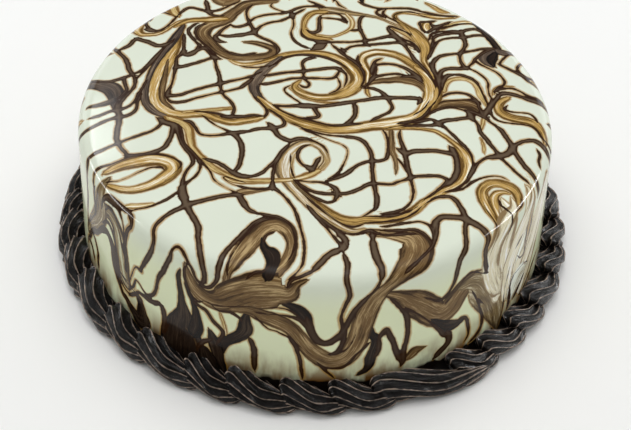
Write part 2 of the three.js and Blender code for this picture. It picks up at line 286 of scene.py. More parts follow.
        [2.2, (12.9, -87.3), (14.3, -92.3), (14.3, -99.3), (15.7, -103.6), (16.8, -107.9), (15.7, -112.9),
         (15, -117.9), (15.4, -122.1), (17.5, -128.6)],
        [1.5, (-6.4, -44.4), (-1.4, -45.1), (2.9, -45.1), (7.1, -46.6)],
        [2.5, (7.1, -46.6), (9.3, -49.4), (9.8, -53), (8.6, -56.2)],
        [1.4, (8.6, -56.4), (5.7, -57.3), (1.4, -55.1), (-2.9, -51.6), (-6.4, -46.6)],
        [2, (-8.6, -43.7), (-4.3, -48), (0, -50.9), (4.3, -51.9), (10, -51.9), (14.3, -51.2), (19.3, -48),
         (23.6, -44.8), (31.6, -44.8), (34.4, -43.4), (40.1, -40.5), (43, -39.4), (50.1, -38.7),
         (53, -39.4), (54.8, -41.2), (53.7, -43.7), (51.6, -46.6), (48.7, -50.1), (45.9, -53)],
        [1.2, (-10, -28), (-10, -33.7), (-9.3, -38.7), (-7.9, -43)],
        [1.3, (-34.3, -99.4), (-32.9, -92.3), (-29.3, -83.7), (-25.7, -76.6), (-21.4, -70.1), (-16.4, -68)],
        [1.8, (-40, -100.1), (-36.4, -92.3), (-33.6, -86.6), (-29.3, -79.4), (-24.3, -71.6), (-20, -68)],
        [1.2, (-19.3, -81), (-18.6, -78), (-15.7, -75.9)],
        [1.4, (-15.7, -93.7), (-18.6, -96.9), (-22.1, -97.3), (-26.4, -100.1)],
        [2, (42.3, -73.7), (38.7, -73.7), (35, -74.4), (30, -75.1), (26.4, -74.4), (23.6, -73),
         (20.7, -73.7)],
        [1.6, (28, -72.6), (32.3, -72.6), (36.6, -71.9), (40.9, -71.2), (43.7, -72.3), (45.9, -74.4),
         (47.6, -77.3)],
        [1.2, (28, -70.5), (32.3, -69.4), (36.6, -68), (40.9, -66.9), (43.7, -66.6), (46.6, -68),
         (48.4, -70.9), (48.7, -74.4)],
        [4, (24, -74.5), (24.5, -77)],
        [3.2, (24.3, -78), (25, -83.7), (26.4, -89.4), (28.2, -94.4), (28.2, -98)],
        [2, (28.2, -98), (27.1, -103), (25, -107.3), (22.9, -111.4)],
    ],
    "back right of the top": [
        [2.2, (47.3, 74.8), (51.6, 73.4), (56.6, 72.3), (60.9, 72.3), (63.7, 72.9)],
        [1, (35.9, 67.3), (34.4, 69.8), (35.4, 72), (39.4, 73.9), (43.7, 73.7), (46.6, 72), (50, 70.6)],
        [1.5, (32.3, 54.1), (35.9, 54.4), (39.4, 52.6), (42.3, 50.9), (44.1, 48), (45.1, 45.1)],
        [1.8, (64.4, 60.1), (60.1, 59.1), (56.6, 58), (53.7, 56.6), (51.9, 54.4), (51.6, 51.6), (50.8, 47)],
        [1.3, (64.4, 56.2), (60.1, 55.5), (56.6, 54.4), (54.1, 52.3), (52.6, 49.4), (51.6, 46.6),
         (50.1, 42.3), (49.1, 39.4)],
        [1, (63, 60.9), (59.4, 60.5), (55.9, 60.1), (53, 59.1), (50.9, 57.3), (50.1, 54.4), (49.4, 51.6)],
        [1.5, (53, 68), (49.4, 66.9), (46.6, 66.6), (45.9, 65.1), (46.6, 62.3), (47.3, 60.1), (48.7, 58.7)],
        [1.6, (48.7, 58.7), (50.9, 60.5), (53, 63), (55.5, 64.8), (58, 66.6), (60.1, 68)],
        [3, (53, 63), (54.5, 64)],
        [2, (53, 63), (51.2, 65.1)],
        [1.2, (54.4, 61.6), (59.4, 64.4), (63.7, 66.6), (68, 67.3), (70.9, 67.3), (72.3, 65.9)],
        [1.8, (60.1, 60.9), (64.4, 60.5), (67.3, 62.3), (70.9, 63.4), (73, 62.3), (74, 61.4)],
        [1.8, (64.4, 56.2), (68, 57.3), (70.9, 58.4), (73.7, 58.7), (75.4, 58)],
        [1.8, (63.7, 44.4), (67.3, 45.9), (70.9, 47.3), (74.4, 48.7), (79.8, 49.3)],
        [2, (63.7, 44.1), (60.1, 43.4), (56.6, 42.3), (54.1, 40.9), (52.3, 38.4), (51.2, 35.1),
         (51.2, 31.6), (51.6, 28.7)],
        [2.2, (64.8, 60.9), (65.1, 57.3), (65.9, 53.7), (66.2, 50.9), (65.1, 47.3), (63.7, 44.4),
         (63.4, 41.6), (63.7, 38), (64.8, 35.1), (65.5, 33.7)],
        [3.6, (65.2, 33.9), (66.6, 33.2)],
        [2.4, (65.9, 33.2), (62.3, 33), (58, 32.7), (55.5, 31.4), (54.1, 28.6), (53.7, 25), (53.4, 21.4)],
        [1.8, (66.6, 34.4), (68.7, 37.3), (70.1, 40.5), (72.3, 43.7), (74.4, 45.9), (76.6, 47.6),
         (78, 48.7)],
        [1.6, (70.1, 39.8), (72.3, 36.9), (75.9, 34.3), (79.4, 31.4), (81.6, 27.9), (82.3, 25),
         (81.6, 22.9), (79.4, 21.1), (77.8, 18.6)],
        [1.4, (67.6, 33.2), (70.9, 30.7), (73.7, 27.1), (75, 23.6), (74.8, 19.3), (75.1, 15.7),
         (75.9, 12.9), (75.5, 9.3), (74.4, 5.7)],
        [1.5, (87.3, 47.3), (84.4, 44.4), (81.6, 40.1), (80.9, 38)],
        [2, (80.1, 38), (83, 35.9), (86.6, 33.4), (90.1, 30.9), (93, 29.4), (97, 30.5), (104, 34)],
        [1.6, (90.1, 30.9), (93, 27), (97, 24.8), (103, 24), (112, 25)],
        [1.6, (98, 46), (91.2, 40.9), (89.4, 38), (88.4, 35.1), (89.4, 33)],
        [2.4, (54.8, 18.6), (55.1, 22.1), (55.9, 25), (57.3, 27.5), (60.1, 28.6)],
        [1.8, (60.1, 28.6), (63.7, 28.4), (66.6, 27.1), (69.1, 25), (70.9, 21.4), (71.9, 17.1), (73, 12.9),
         (73.7, 9.3)],
    ],
    "right of the top": [
        [1.8, (50.1, 35.7), (51.6, 30.7), (53, 25.7), (53.6, 20), (53.4, 15), (51.8, 10), (49.4, 5.7),
         (47.3, 1.4), (44.4, -2.1), (40.1, -4.3), (35.1, -5.7)],
        [1.2, (51.6, 28.7), (52, 22), (51.2, 16), (49, 10), (46, 4), (42, 0)],
        [2, (54.8, 12.9), (56.6, 14.6), (59.4, 15.7), (63, 15.9), (65.9, 15), (68, 12.9), (69.8, 10),
         (70.1, 6.4), (70.9, 3.6), (71.9, 0.7)],
        [1.6, (53, 8.2), (55.1, 10), (59.4, 10.4), (63.7, 11.1), (66.6, 11.4), (68.7, 10.7), (70.1, 9.3)],
        [1.2, (49.4, 1.4), (51.6, 3.6), (54.4, 5), (58, 5.7), (61.6, 5), (64.4, 3.6), (65.9, 1.4)],
        [2, (65.1, 4.3), (68, 2.9), (70.1, 1.4), (71.9, 0)],
        [3.4, (65.5, 2.9), (66.4, 0), (67.3, -2.5)],
        [1.4, (35, -6), (42.3, -4.6), (45.9, -3.6), (48.7, -2.7), (50.1, -2.9), (51.6, -4.3)],
        [1.4, (30.1, -9.3), (35.1, -7.5), (42.3, -7.1), (46.6, -6.8), (50.1, -6.4), (52.6, -5.7)],
        [4, (52.2, -4.8), (52.9, -6.4)],
        [2.2, (53, -4.6), (55.1, -3.2), (58.7, -2.5), (62.3, -1.4), (65.1, -0.9), (66.9, 0)],
        [1.2, (54.1, -6.4), (56.6, -10), (59.4, -14.3), (62.3, -18.6), (64.4, -22.1), (65.6, -25.7),
         (65.9, -31), (64.4, -37.3), (62.3, -41.6), (58.7, -45.5), (54.4, -48)],
        [1.8, (68, -2.1), (69.4, -5.7), (70.1, -10), (72.3, -14.3), (74.4, -18.6), (76.6, -22.9),
         (77.3, -25)],
        [1.5, (77.3, -25), (80.9, -30), (84.4, -35), (88.7, -40)],
        [1.6, (72.3, 0.4), (74.4, -2.9), (77.3, -5.7)],
        [2.4, (77.3, -5.7), (79.4, -8.6), (81.2, -12.9), (82.6, -16.4), (83.4, -19.3)],
        [2.2, (83.4, -19.3), (85.1, -24.3), (87.3, -29.3), (90.9, -35), (94.4, -40), (97, -42)],
        [1.8, (64, -38), (65.9, -34.3), (68, -30), (70.1, -27.5), (73, -25.6)],
        [3.6, (72, -26), (77.3, -24.6), (80.5, -23), (82.7, -20), (84.4, -17.1)],
        [2.6, (84.4, -17.1), (87.3, -14.6), (90.9, -13.4), (93.4, -13.8), (97, -17), (101, -21), (108, -24)],
        [2.4, (72.3, 0.7), (73.7, 5), (75.9, 9.3), (78, 12.9), (79.4, 15.7)],
        [2.8, (79.4, 15.7), (81.2, 17.1), (84.4, 17.1), (88.7, 15.7), (92.3, 13.9), (98.7, 11.4), (108, 8),
         (120, 6)],
        [1.6, (77.3, 17.1), (78.7, 19.3), (81.6, 20.4), (85.1, 21.1), (88.7, 19.3), (92.3, 16.4),
         (99.4, 13.6)],
        [1, (82.3, 8.6), (81.2, 6.4), (83, 5), (87.3, 4.6), (91.6, 4.3), (93.7, 2.1), (94.8, -0.7)],
        [1.1, (74.8, 5), (75.9, 0.7), (78.7, -2.1), (83.7, -2.9), (88, -3.2), (92.3, -4.3), (94.4, -7.1),
         (97, -12), (102, -16)],
        [3, (56.6, -20), (58, -22.9), (59.1, -27.1), (59.4, -31.4), (59.1, -35.7), (58, -39.4),
         (56.2, -42.3), (54.4, -44.1)],
        [1.2, (93.5, -19), (94.5, -22), (93.8, -26), (94.5, -29.5)],
    ],
    "front right of the top": [
        [1.1, (45.9, -53), (43.7, -55.9), (41.6, -58.7), (38.7, -61.2), (35.1, -63), (28, -64.4),
         (22, -64.8)],
        [1.3, (47.3, -54.1), (44.4, -57.3), (41.6, -60.9), (38, -64.1), (33.7, -66.2), (28, -67.6),
         (22, -68.6)],
        [1, (80.1, -39.1), (77.3, -37.3), (73.7, -37.3), (70.1, -38.4), (66.6, -40.5), (63.7, -43.4),
         (60.9, -46.2), (56.6, -47.6), (52.3, -48.7)],
        [2, (75.9, -51.6), (76.6, -54.4), (78.7, -56.6), (81.2, -58), (82.5, -61), (84, -66)],
        [2.4, (47.3, -54.4), (49.4, -52.3), (52.3, -51.2), (55.9, -51.2), (58, -53), (59.8, -56.6),
         (60.9, -59.4), (61.6, -62.3), (62.6, -64.4)],
        [3.4, (49.1, -70), (49.6, -66.5), (51.6, -63.7), (54.4, -63), (58, -63), (60.9, -63.4),
         (65.9, -66.6), (69.4, -69.4), (71.6, -71.6), (72.3, -74.4), (73.7, -77.3), (76.6, -79.4),
         (79.4, -81.6), (84.6, -85)],
        [2.2, (49.8, -66), (50.1, -70.9), (49.4, -75.1), (48.7, -78), (47.6, -80.9), (45.9, -83.7),
         (43.7, -86.6), (40.9, -90.1), (37.5, -94)],
        [2.2, (62.3, -64.4), (61.6, -68.7), (61.6, -73.7), (61.9, -78), (61.2, -82.3), (60.9, -84.4),
         (63, -88.7), (65.1, -93), (66.2, -97.3), (65.9, -101.6), (64.4, -104.4), (61.6, -105.9),
         (58.7, -105.5), (52, -104.8)],
        [1.6, (86.6, -85.1), (82.3, -86.6), (78, -87.3), (73.7, -88), (71.6, -90.1), (70.9, -94.4),
         (70.5, -98.7), (69.4, -103), (68, -107.3)],
        [1, (69, -52), (70.5, -57), (73, -62.5), (74.8, -66), (75, -72)],
        [1, (84.8, -49), (86.2, -51), (84.5, -54.5), (82.5, -57)],
    ],
    "front of the side": [
        [2.2, (-95, -101.4), (-92.9, -104.3), (-89.3, -106.8), (-85.7, -107.9), (-83.9, -109.3)],
        [3, (-84, -109.6), (-84.3, -112.9), (-86.4, -116.4), (-89.3, -119.3), (-92.9, -122.1)],
        [1, (-92.9, -124.3), (-87.9, -121.4), (-82.1, -118.6)],
        [2.4, (-59.3, -110.7), (-57.9, -112.9), (-55.7, -114.6), (-53.6, -116.4), (-52.9, -118.6),
         (-52.1, -121.4), (-50.7, -124.3), (-48.6, -127.1), (-47.9, -129.3), (-49.3, -131.4), (-55, -135.7)],
        [1.2, (-57.9, -111.4), (-55, -111.4), (-52.1, -111.4), (-49.3, -112.9), (-47.9, -115),
         (-45.7, -117.1), (-42.1, -117.5), (-38.6, -118.6), (-35.7, -121.4), (-34.6, -123.6)],
        [1.4, (-49.3, -112.9), (-45, -114.3), (-37.9, -115), (-30.7, -114.8), (-22.9, -115),
         (-15.7, -115.4), (-10, -116.4), (-5.7, -119.6)],
        [1.4, (-52.1, -91.8), (-55.4, -95), (-57.5, -99.3), (-58.2, -104.3), (-57.9, -108.6),
         (-56.1, -111.1)],
        [2.6, (-32.9, -132.9), (-32.1, -137.1), (-31.8, -141.4), (-32.9, -145.7), (-33.9, -152)],
        [2.2, (-56, -132.1), (-59.3, -132.9), (-63.6, -133.2), (-66.4, -134.3), (-69.3, -135.7),
         (-71.4, -137.9)],
        [1.3, (-10.7, -133.6), (-5, -137.9), (-1.4, -141.4), (2.1, -144.3), (6.4, -147.9), (10, -150.2),
         (14.3, -150.3), (18.6, -150), (22.1, -148.2), (25, -145), (27.1, -141.4), (30.7, -137.1),
         (32.9, -133.6)],
        [1.6, (6.4, -147.9), (10, -151.4), (14.3, -154.3), (16.4, -156)],
        [0.8, (-15.7, -120.7), (-11.4, -122.1), (-7.9, -125), (-5, -129.3), (-2.9, -132.9), (0, -137.1),
         (4.3, -140.7), (9.3, -142.1), (14.3, -141.8), (19.3, -140), (22.5, -136.4), (23.9, -132.1),
         (24.3, -127.9), (23.2, -123.6), (21.8, -118)],
        [3.2, (-1.4, -121.4), (0, -125.7), (1.4, -130), (4.3, -134.3), (8.6, -135.7), (12.1, -134.3),
         (15.7, -130.7), (18.2, -126), (19.3, -120.7), (20.7, -115.7), (22.9, -111.4), (24.3, -107.9)],
        [1.8, (-25.7, -118.6), (-20, -119.3), (-14.3, -119.6), (-8.6, -120.7), (-5, -122.1), (-2.1, -125),
         (0, -127.9)],
        [1, (-30, -116.8), (-25.7, -118.2), (-21.4, -118.9)],
        [1.8, (18.6, -128.6), (18.6, -133.6), (17.5, -137.9), (15.7, -140.7), (12.9, -142.1)],
        [2.4, (-10, -133.6), (-7.9, -137.1), (-6.1, -141.4), (-5, -146.4), (-4.3, -151.4), (-3.4, -157)],
        [1, (-28, -119), (-24.3, -124.3), (-21.4, -127.9), (-17.1, -129.3), (-13.6, -131.4),
         (-10.7, -132.5)],
        [1.8, (35, -107.1), (40, -110), (44.3, -112.9), (46.4, -114.5)],
        [2.5, (46.4, -113.6), (49.3, -117.1), (51.4, -120.7), (53.6, -125), (55, -129.3), (55.7, -133.6),
         (57.1, -137.9), (58.6, -140.7), (58.2, -143.6)],
        [2.4, (37.9, -131), (38.6, -127.1), (40, -124.6), (41.5, -125.8), (44.3, -128.6), (47.1, -131.4),
         (50, -135), (53.6, -138.6), (57.1, -141.4)],
        [2.2, (38, -131.5), (39.5, -135.5), (39.8, -138.5), (38.5, -142)],
        [1.8, (45.7, -111.6), (52.9, -113.8), (60, -115.9), (67.1, -118.1), (74.3, -120.2), (79.3, -121.9),
         (82, -120.6)],
        [2, (83.6, -112.9), (86.4, -110), (90, -109.6), (93.6, -111.4), (97.1, -113.6), (99.6, -116.4),
         (99.3, -120)],
        [3, (80.7, -119.6), (83.6, -121.4), (85.5, -124.3), (84.3, -127.9), (82.1, -131.4), (80.7, -134.5)],
        [1.8, (81.4, -96.1), (85, -97.1), (91.4, -99.3), (97.1, -101.4)],
        [2.6, (97.1, -101.4), (102.9, -103.6), (106.4, -106.4), (107.9, -110), (106.8, -114.3),
         (104.6, -118.5)],
        [1.4, (91.4, -97.9), (95.7, -98.6), (102.9, -98.9), (110, -98.9), (115.5, -100), (118, -102)],
    ],
    "left of the side": [
        [1.6, (-126.4, -45.7), (-117.1, -49.3), (-109.3, -51.8), (-103.6, -51.1), (-99.3, -48.6),
         (-93.6, -46.1)],
        [2.4, (-144, -44), (-140, -45), (-135.7, -47.9), (-131.4, -50), (-126.4, -50.7), (-123.6, -52.9),
         (-120, -56.4), (-115, -58.6), (-109.3, -60)],
        [3.1, (-109.3, -60), (-105, -62.1), (-102.1, -65), (-102.5, -68.6), (-105, -72.9), (-108.6, -75.7),
         (-112.1, -79.3), (-114.3, -83.6), (-115.7, -88.6), (-116.4, -92.9), (-115, -97.1), (-113, -102)],
        [2.8, (-126.4, -50.7), (-125.7, -54.3), (-126.8, -58.6), (-130, -62.9), (-134.3, -63.9),
         (-137.9, -65.7)],
        [2.8, (-138.6, -47), (-137.1, -52.9), (-138.6, -56.4), (-140.7, -58.6)],
        [1.6, (-103.7, -78), (-107.9, -81.4), (-108.2, -85), (-107.1, -89.3), (-104.6, -92.9),
         (-101.8, -94.6), (-97.9, -93.6)],
        [2, (-106, -77), (-109.3, -80.7), (-111.4, -85), (-112.1, -88.6), (-111.4, -92.9), (-108.6, -96.4),
         (-103.6, -97.9)],
        [3, (-103.6, -97.9), (-100.7, -101.4), (-100.4, -104.6)],
        [2, (-104.4, -38.7), (-110, -40.7), (-115.7, -41.4), (-122, -42), (-131, -44)],
        [1.6, (-102, -16.5), (-107, -19), (-114, -22), (-124, -24), (-136, -25), (-146, -24)],
        [1.5, (-102, -8), (-110, -11), (-120, -11), (-131, -7), (-142, -6)],
        [2, (-101, 23), (-108, 27), (-117, 27), (-126, 31), (-140, 32)],
    ],
    "right of the side": [
        [1.5, (112.9, -61.4), (114.3, -64.3), (112.9, -67.1), (109.3, -68.2), (106.4, -68.6)],
        [2.2, (100.4, -60), (100.4, -67.1)],
        [1, (102.1, -69.3), (105, -75), (108.6, -80), (113.6, -85.7), (118.6, -89.3), (122.1, -92.1)],
        [1.6, (127.1, -61.4), (123.6, -63.6), (120.7, -67.1), (117.9, -71.4), (115.7, -75)],
        [2.6, (115.7, -75), (115.7, -78.6), (117.9, -81.4), (121.4, -83.6), (125, -85), (127.5, -88.5)],
        [2.8, (129.6, -66), (130, -75), (129.6, -81.4)],
        [2.4, (140, -45), (139.3, -53.6), (140, -58.6), (139.6, -65), (139.3, -70.7), (136.4, -75)],
        [2.2, (120, 6), (131, 8), (139, 4), (148, 6)],
        [1.8, (112, 25), (122, 29), (134, 27), (143, 33)],
        [2, (108, -24), (118, -26), (128, -31), (138, -30), (147, -34)],
        [1.4, (102, -16), (112, -14), (124, -18), (135, -15)],
    ],
}

# The streaked ribbons: each has its tone and points with the ribbon's width there.
RIBBONS = [
    ["caramel", (-60.1, 58.7, 2.5), (-61.2, 53.7, 3), (-62.3, 48, 4.5), (-63.7, 42.3, 6.5),
     (-66.2, 34, 7.8), (-68.4, 25.7, 8.5), (-69.4, 18.6, 8.6), (-70.1, 11.4, 9), (-70.1, 5.7, 9.2),
     (-67.3, 0, 8.5), (-62.3, -3.6, 6), (-56.6, -4.3, 4.6), (-50.9, -3.2, 4.4), (-46.6, -3.6, 4),
     (-40.9, -6.6, 4), (-35.7, -8.2, 4), (-30.7, -7.1, 4), (-25.7, -5.7, 3.5), (-22, -4.2, 2)],
    ["smoke", (-60, 58.5, 1.6), (-62.2, 52, 3.4), (-64.7, 45, 4), (-67.5, 38, 3), (-71, 28, 2.4),
     (-72.8, 18.6, 2.4), (-73.6, 11, 3), (-72.8, 4, 3.4), (-69.2, -2, 3.2), (-64, -5.4, 2.4), (-58, -6, 1)],
    ["brown", (-65.2, 33, 1), (-65.6, 25, 2), (-66.2, 17, 2.6), (-66.4, 10, 2.8), (-65, 4, 2.4),
     (-60.5, -0.8, 1)],
    ["tan", (-56, -2.5, 1.5), (-47.3, -1, 2), (-36, 1.1, 2)],
    ["tan", (-62.3, -6.6, 4), (-56.6, -9.3, 4), (-53.7, -12.9, 3.8), (-52.6, -18.6, 3.5),
     (-51.6, -24.3, 3), (-48.7, -29.3, 2.6), (-45.9, -32.9, 2.5), (-42, -38, 3), (-38, -41, 3),
     (-31.4, -44.8, 2.5), (-25.7, -45.5, 2.5), (-18.6, -45.1, 2.5), (-11.4, -44.4, 2.5), (-6.4, -43, 2.5),
     (-2.1, -40.9, 3.5), (1.4, -38, 3)],
    ["tan", (-37, -44, 1), (-33, -46.6, 1.5), (-25.7, -46.9, 1.5), (-17, -46.2, 1)],
    ["smoke", (-104, 21, 5), (-101, 19, 4), (-95, 15.8, 5.5), (-88.5, 13, 8), (-86, 8, 7), (-85.5, 3, 5),
     (-85, -1, 3)],
    ["smoke", (-87, 5, 3), (-88, 4, 3), (-92, 2, 2.5), (-97, 0.5, 1.5)],
    ["caramel", (-86, -41.5, 3), (-79.5, -37, 6), (-72, -34.3, 7.2), (-65, -33.5, 7.2), (-60, -35.7, 6.8),
     (-58.7, -40, 6.5), (-62, -45.3, 6.2), (-67, -49.3, 5), (-72.5, -51.8, 4.4), (-78.5, -52.2, 3.5),
     (-84.5, -49.4, 2)],
    ["tan", (-77, -61.5, 1.5), (-72, -62, 2.5), (-66, -60.7, 1.5)],
    ["umber", (-133.6, -45, 4), (-122, -49.5, 6), (-112, -54, 9), (-101, -56, 10), (-94, -53.5, 9),
     (-88.5, -49, 5), (-85, -45.5, 2)],
    ["olive", (-100, -56, 3), (-93, -57.5, 6), (-88.5, -62, 8), (-89, -68, 8), (-93.5, -74, 9),
     (-99.5, -80, 9), (-105, -86, 8), (-107, -91, 6)],
    ["caramel", (-79.4, 62.3, 5), (-80.5, 56.6, 5), (-79, 52.6, 3.5), (-76.6, 51.6, 2.5), (-71.6, 52, 2),
     (-68, 54.4, 1.8), (-65.1, 58, 1.8), (-62.3, 60.9, 2), (-58, 62.3, 3)],
    ["tan", (-66.5, 74, 5), (-65.1, 69.4, 5), (-63.2, 66.5, 3)],
    ["brown", (-20, 78.5, 3), (-28, 77.5, 4), (-33, 75.5, 5), (-35.9, 72, 5), (-38.7, 68, 5.5),
     (-41.5, 64, 7), (-45.5, 60.5, 6), (-48.5, 58.5, 6), (-51, 54.5, 7), (-50.5, 50.5, 6),
     (-47.3, 45.9, 5), (-43.7, 40.9, 5), (-38, 36.6, 4.5), (-32.9, 35.9, 4), (-27.1, 36.6, 4),
     (-22.1, 37.9, 4), (-19.3, 40.5, 4), (-20, 43.3, 3.5), (-24, 45.4, 3), (-28, 46.8, 2.5), (-32, 47, 1.5)],
    ["caramel", (-41.5, 64, 3), (-45.1, 63.7, 4.5), (-50.9, 63, 3.5), (-56.6, 62.6, 3), (-60.1, 60.9, 2.5),
     (-63.7, 58, 2)],
    ["caramel", (-38, 34, 1.5), (-35.7, 32.3, 2), (-32.1, 31.2, 2), (-25.7, 32.6, 2.2), (-19.3, 35.9, 2.5),
     (-15, 38.5, 3), (-9.3, 40.2, 3), (-4.3, 41, 3), (1.4, 40.8, 3.5), (6.4, 39, 4), (11.4, 35.6, 5),
     (15.2, 31, 5.5), (17.6, 25.7, 5.5), (17.6, 20.7, 6), (15, 15.7, 6), (10.7, 12.5, 5), (5.7, 10.4, 4),
     (0, 10.2, 4), (-5, 12, 3.8), (-8.6, 15, 3.5), (-9.3, 17.9, 2.5), (-7.5, 20.7, 1.8)],
    ["tan", (-11.4, 15.7, 1), (-6.4, 10, 1.2), (-1.4, 7.9, 1.2), (4.3, 6.8, 1.2), (10, 7.1, 1)],
    ["grey", (2.1, 73.5, 3.5), (6, 73, 4), (10, 72.3, 4), (14.3, 71.2, 3), (20.7, 70.1, 2),
     (26.4, 68.7, 1.5), (31.4, 65.9, 1.3), (40, 60.1, 1.2)],
    ["caramel", (2.9, 71.3, 3), (-1.4, 70.9, 3), (-4.6, 68, 3), (-6.1, 63.7, 2.5), (-6.4, 59.4, 2.5),
     (-5, 54.9, 4), (-1.4, 52.4, 4), (2.9, 51.6, 3), (5.7, 51.3, 1.5)],
    ["tan", (12.9, 70.1, 1.5), (15, 66.6, 1.8), (15.6, 62.3, 2), (14.3, 58.7, 1.8), (10, 55.1, 1.4),
     (5.7, 53, 1.4), (0, 54, 1.2)],
    ["caramel", (62, 71.8, 2), (55, 71, 3), (50, 71.5, 2.5), (44, 72.8, 2), (39, 73.4, 2), (35.7, 72.2, 2),
     (34.6, 70.1, 2), (36, 66.8, 2.2), (40, 62, 3.5), (44, 57.5, 5), (46.5, 52.5, 5.5), (48, 47.5, 4.8),
     (47.8, 42, 3.5), (47.4, 38, 2.6), (48.4, 34.4, 2.5), (50, 30, 3), (51.6, 25, 3.5), (52, 20, 3)],
    ["tan", (33.6, 60.9, 1.2), (40, 55.6, 1.4), (43, 52, 1.2)],
    ["caramel", (52, 67.5, 1.5), (49, 65.5, 3), (48.5, 63, 4), (49.4, 60.5, 3)],
    ["tan", (55.1, 61.6, 1.5), (58, 63.7, 2), (61.6, 66.2, 2.2), (65.1, 68, 2.2), (68.7, 68.7, 2),
     (70.9, 69.1, 1.5)],
    ["dark", (71.6, 68, 3), (73.7, 64.4, 3.2), (75.5, 60.9, 3.4), (77.3, 57.3, 3.4), (79.1, 53, 3),
     (80.5, 49.4, 3), (80.9, 46.6, 2.5)],
    ["smoke", (80, 48.5, 3), (76.6, 46.2, 4.5), (74.2, 43.2, 4.5), (73.9, 40.5, 4), (75.1, 38, 3),
     (78, 35.9, 2)],
    ["dark", (79, 45, 3), (77.8, 42, 4.5), (77.5, 39, 3.5), (78.2, 36.5, 1.5)],
    ["smoke", (80.5, 48, 3), (83, 46.5, 4), (87, 47.5, 3), (92, 50, 2)],
    ["caramel", (49.4, 81.6, 1.5), (52.3, 79.4, 2.2), (54.4, 77.3, 2.5), (55.9, 75.9, 2.5),
     (58.7, 75.1, 1.5)],
    ["caramel", (23, 12, 1), (22, 16, 1.8), (22.3, 23.5, 2), (22.5, 28.5, 3), (21, 33, 3.5), (20, 37, 3.5),
     (21.4, 40.5, 4), (25.7, 42.8, 4), (30.7, 42.6, 4), (35.7, 40.9, 4), (40, 37.3, 4), (43.5, 33, 3.5),
     (46, 28.6, 3), (47.8, 24, 2.5)],
    ["brown", (20.5, 18.5, 1.5), (24.3, 21.4, 2.5), (27.1, 22.5, 3), (31.4, 23.2, 3.5), (35.9, 24, 4),
     (40.1, 23.6, 4.5), (43.7, 22.1, 4), (46.2, 19.3, 3), (47.3, 16.4, 2)],
    ["smoke", (-16.4, 36.4, 2.5), (-19.3, 32.1, 3.5), (-22.1, 28.6, 4), (-24.6, 24.3, 5), (-26.4, 19.3, 5),
     (-26.8, 15, 4.4), (-25.2, 10, 3.8), (-22.8, 6.4, 3.4), (-20, 3, 2)],
    ["caramel", (-24.6, 8.8, 1.5), (-22, 5.5, 3), (-18.5, 1.5, 4.2), (-14.5, -2, 4.5), (-9.5, -5.5, 5),
     (-4, -8, 5.5), (1.5, -9.6, 5.5), (7, -11, 5), (13, -10.5, 5.5), (18.6, -9.3, 6), (24.3, -7.6, 6),
     (30, -6.6, 7), (35.7, -5, 7), (40, -3.6, 6.5), (43.5, -1.2, 6), (46.2, 2.3, 6), (48.3, 6.5, 7),
     (50, 10.5, 7.5), (50.6, 15, 7.5), (50.2, 20, 6), (48.7, 25, 4.5), (46.5, 29, 3.5), (43.5, 33, 2)],
    ["smoke", (1.5, -21.5, 1.2), (-2.5, -20.4, 2.6), (-6, -21.4, 3.6), (-9.3, -24.6, 3.6), (-12.6, -29, 3),
     (-14.4, -34.3, 2.6), (-14.8, -39.5, 1.2)],
    ["grey", (2.9, -36.4, 2.5), (5, -32.1, 2.5), (4.6, -27.9, 2.5), (2.9, -23.6, 2.8), (-0.7, -20.7, 3.2),
     (-5, -20.9, 3.8), (-8.6, -23.9, 4.6), (-11.2, -28.6, 5.5), (-12.4, -34.3, 6.5), (-12.4, -39.5, 6.5),
     (-11.2, -44, 5), (-8.6, -48.7, 4.5), (-5, -53.7, 4.5), (-1.4, -58.7, 4.5), (2.9, -63.7, 4.5),
     (7.9, -68.7, 4), (12.9, -72.5, 3.5), (17.1, -73.7, 2.5), (20.7, -72.3, 1.5)],
    ["caramel", (-7.9, -46.6, 2), (-2.9, -53, 3), (1.4, -58.7, 4), (6.4, -63.7, 4.5), (11.4, -67, 4.5),
     (17.1, -68, 4.5), (21.4, -66.9, 4), (28, -66.6, 4.2), (34.4, -65.1, 4.2), (38.7, -62.3, 4.2),
     (42.3, -58.7, 4), (45.1, -55.1, 3.5), (48.7, -51.6, 3), (53, -48, 3.5), (57.3, -45.1, 4),
     (60.5, -41.6, 4.5), (62.4, -37.3, 5), (63.3, -32.3, 5.5), (63, -28, 5.5), (62, -24, 4.5),
     (60.1, -20, 3), (57.3, -16.4, 2.2), (54.4, -13.2, 2), (50.9, -10.4, 2), (46.6, -9.3, 1.8),
     (40.9, -8.9, 1.5), (35.1, -9.3, 1.5), (30.1, -10, 1.6)],
    ["brown", (32.1, -11.4, 2), (32.1, -17.1, 2.5), (32.1, -22.9, 2.8), (33.4, -28, 2), (34, -33, 1.5),
     (33.9, -38, 0.8)],
    ["brown", (-30, -53, 3.5), (-25.7, -51.8, 3.5), (-18.6, -50.5, 1.5)],
    ["brown", (-38, -104.5, 2.5), (-35, -99.5, 3), (-33, -96, 3.2), (-31, -93.5, 5), (-27.5, -87, 7.4),
     (-23, -78.5, 7.6), (-19, -73, 7.5), (-14, -71.3, 7), (-10, -74.5, 6.5), (-8, -81, 4.4),
     (-8.5, -88, 4.6), (-11, -94, 5), (-15, -98, 5), (-19, -101, 5)],
    ["brown", (24, -74, 4), (29.5, -74.3, 4.5), (36, -75, 7), (40, -76.3, 10), (42, -81, 12.6),
     (40.8, -87.5, 11.5), (37.5, -93, 8), (34.3, -98, 6), (31.5, -102.3, 5.6), (28.3, -108.5, 7.5),
     (26.6, -117, 8.8), (26.5, -126, 8.4), (26.2, -132, 8.4), (24.4, -138.5, 8.6), (21, -143.3, 8.8),
     (16, -145.8, 8.8), (11, -145.8, 8.6), (6, -143.8, 8), (1, -140.3, 7.4), (-3, -136, 6.8),
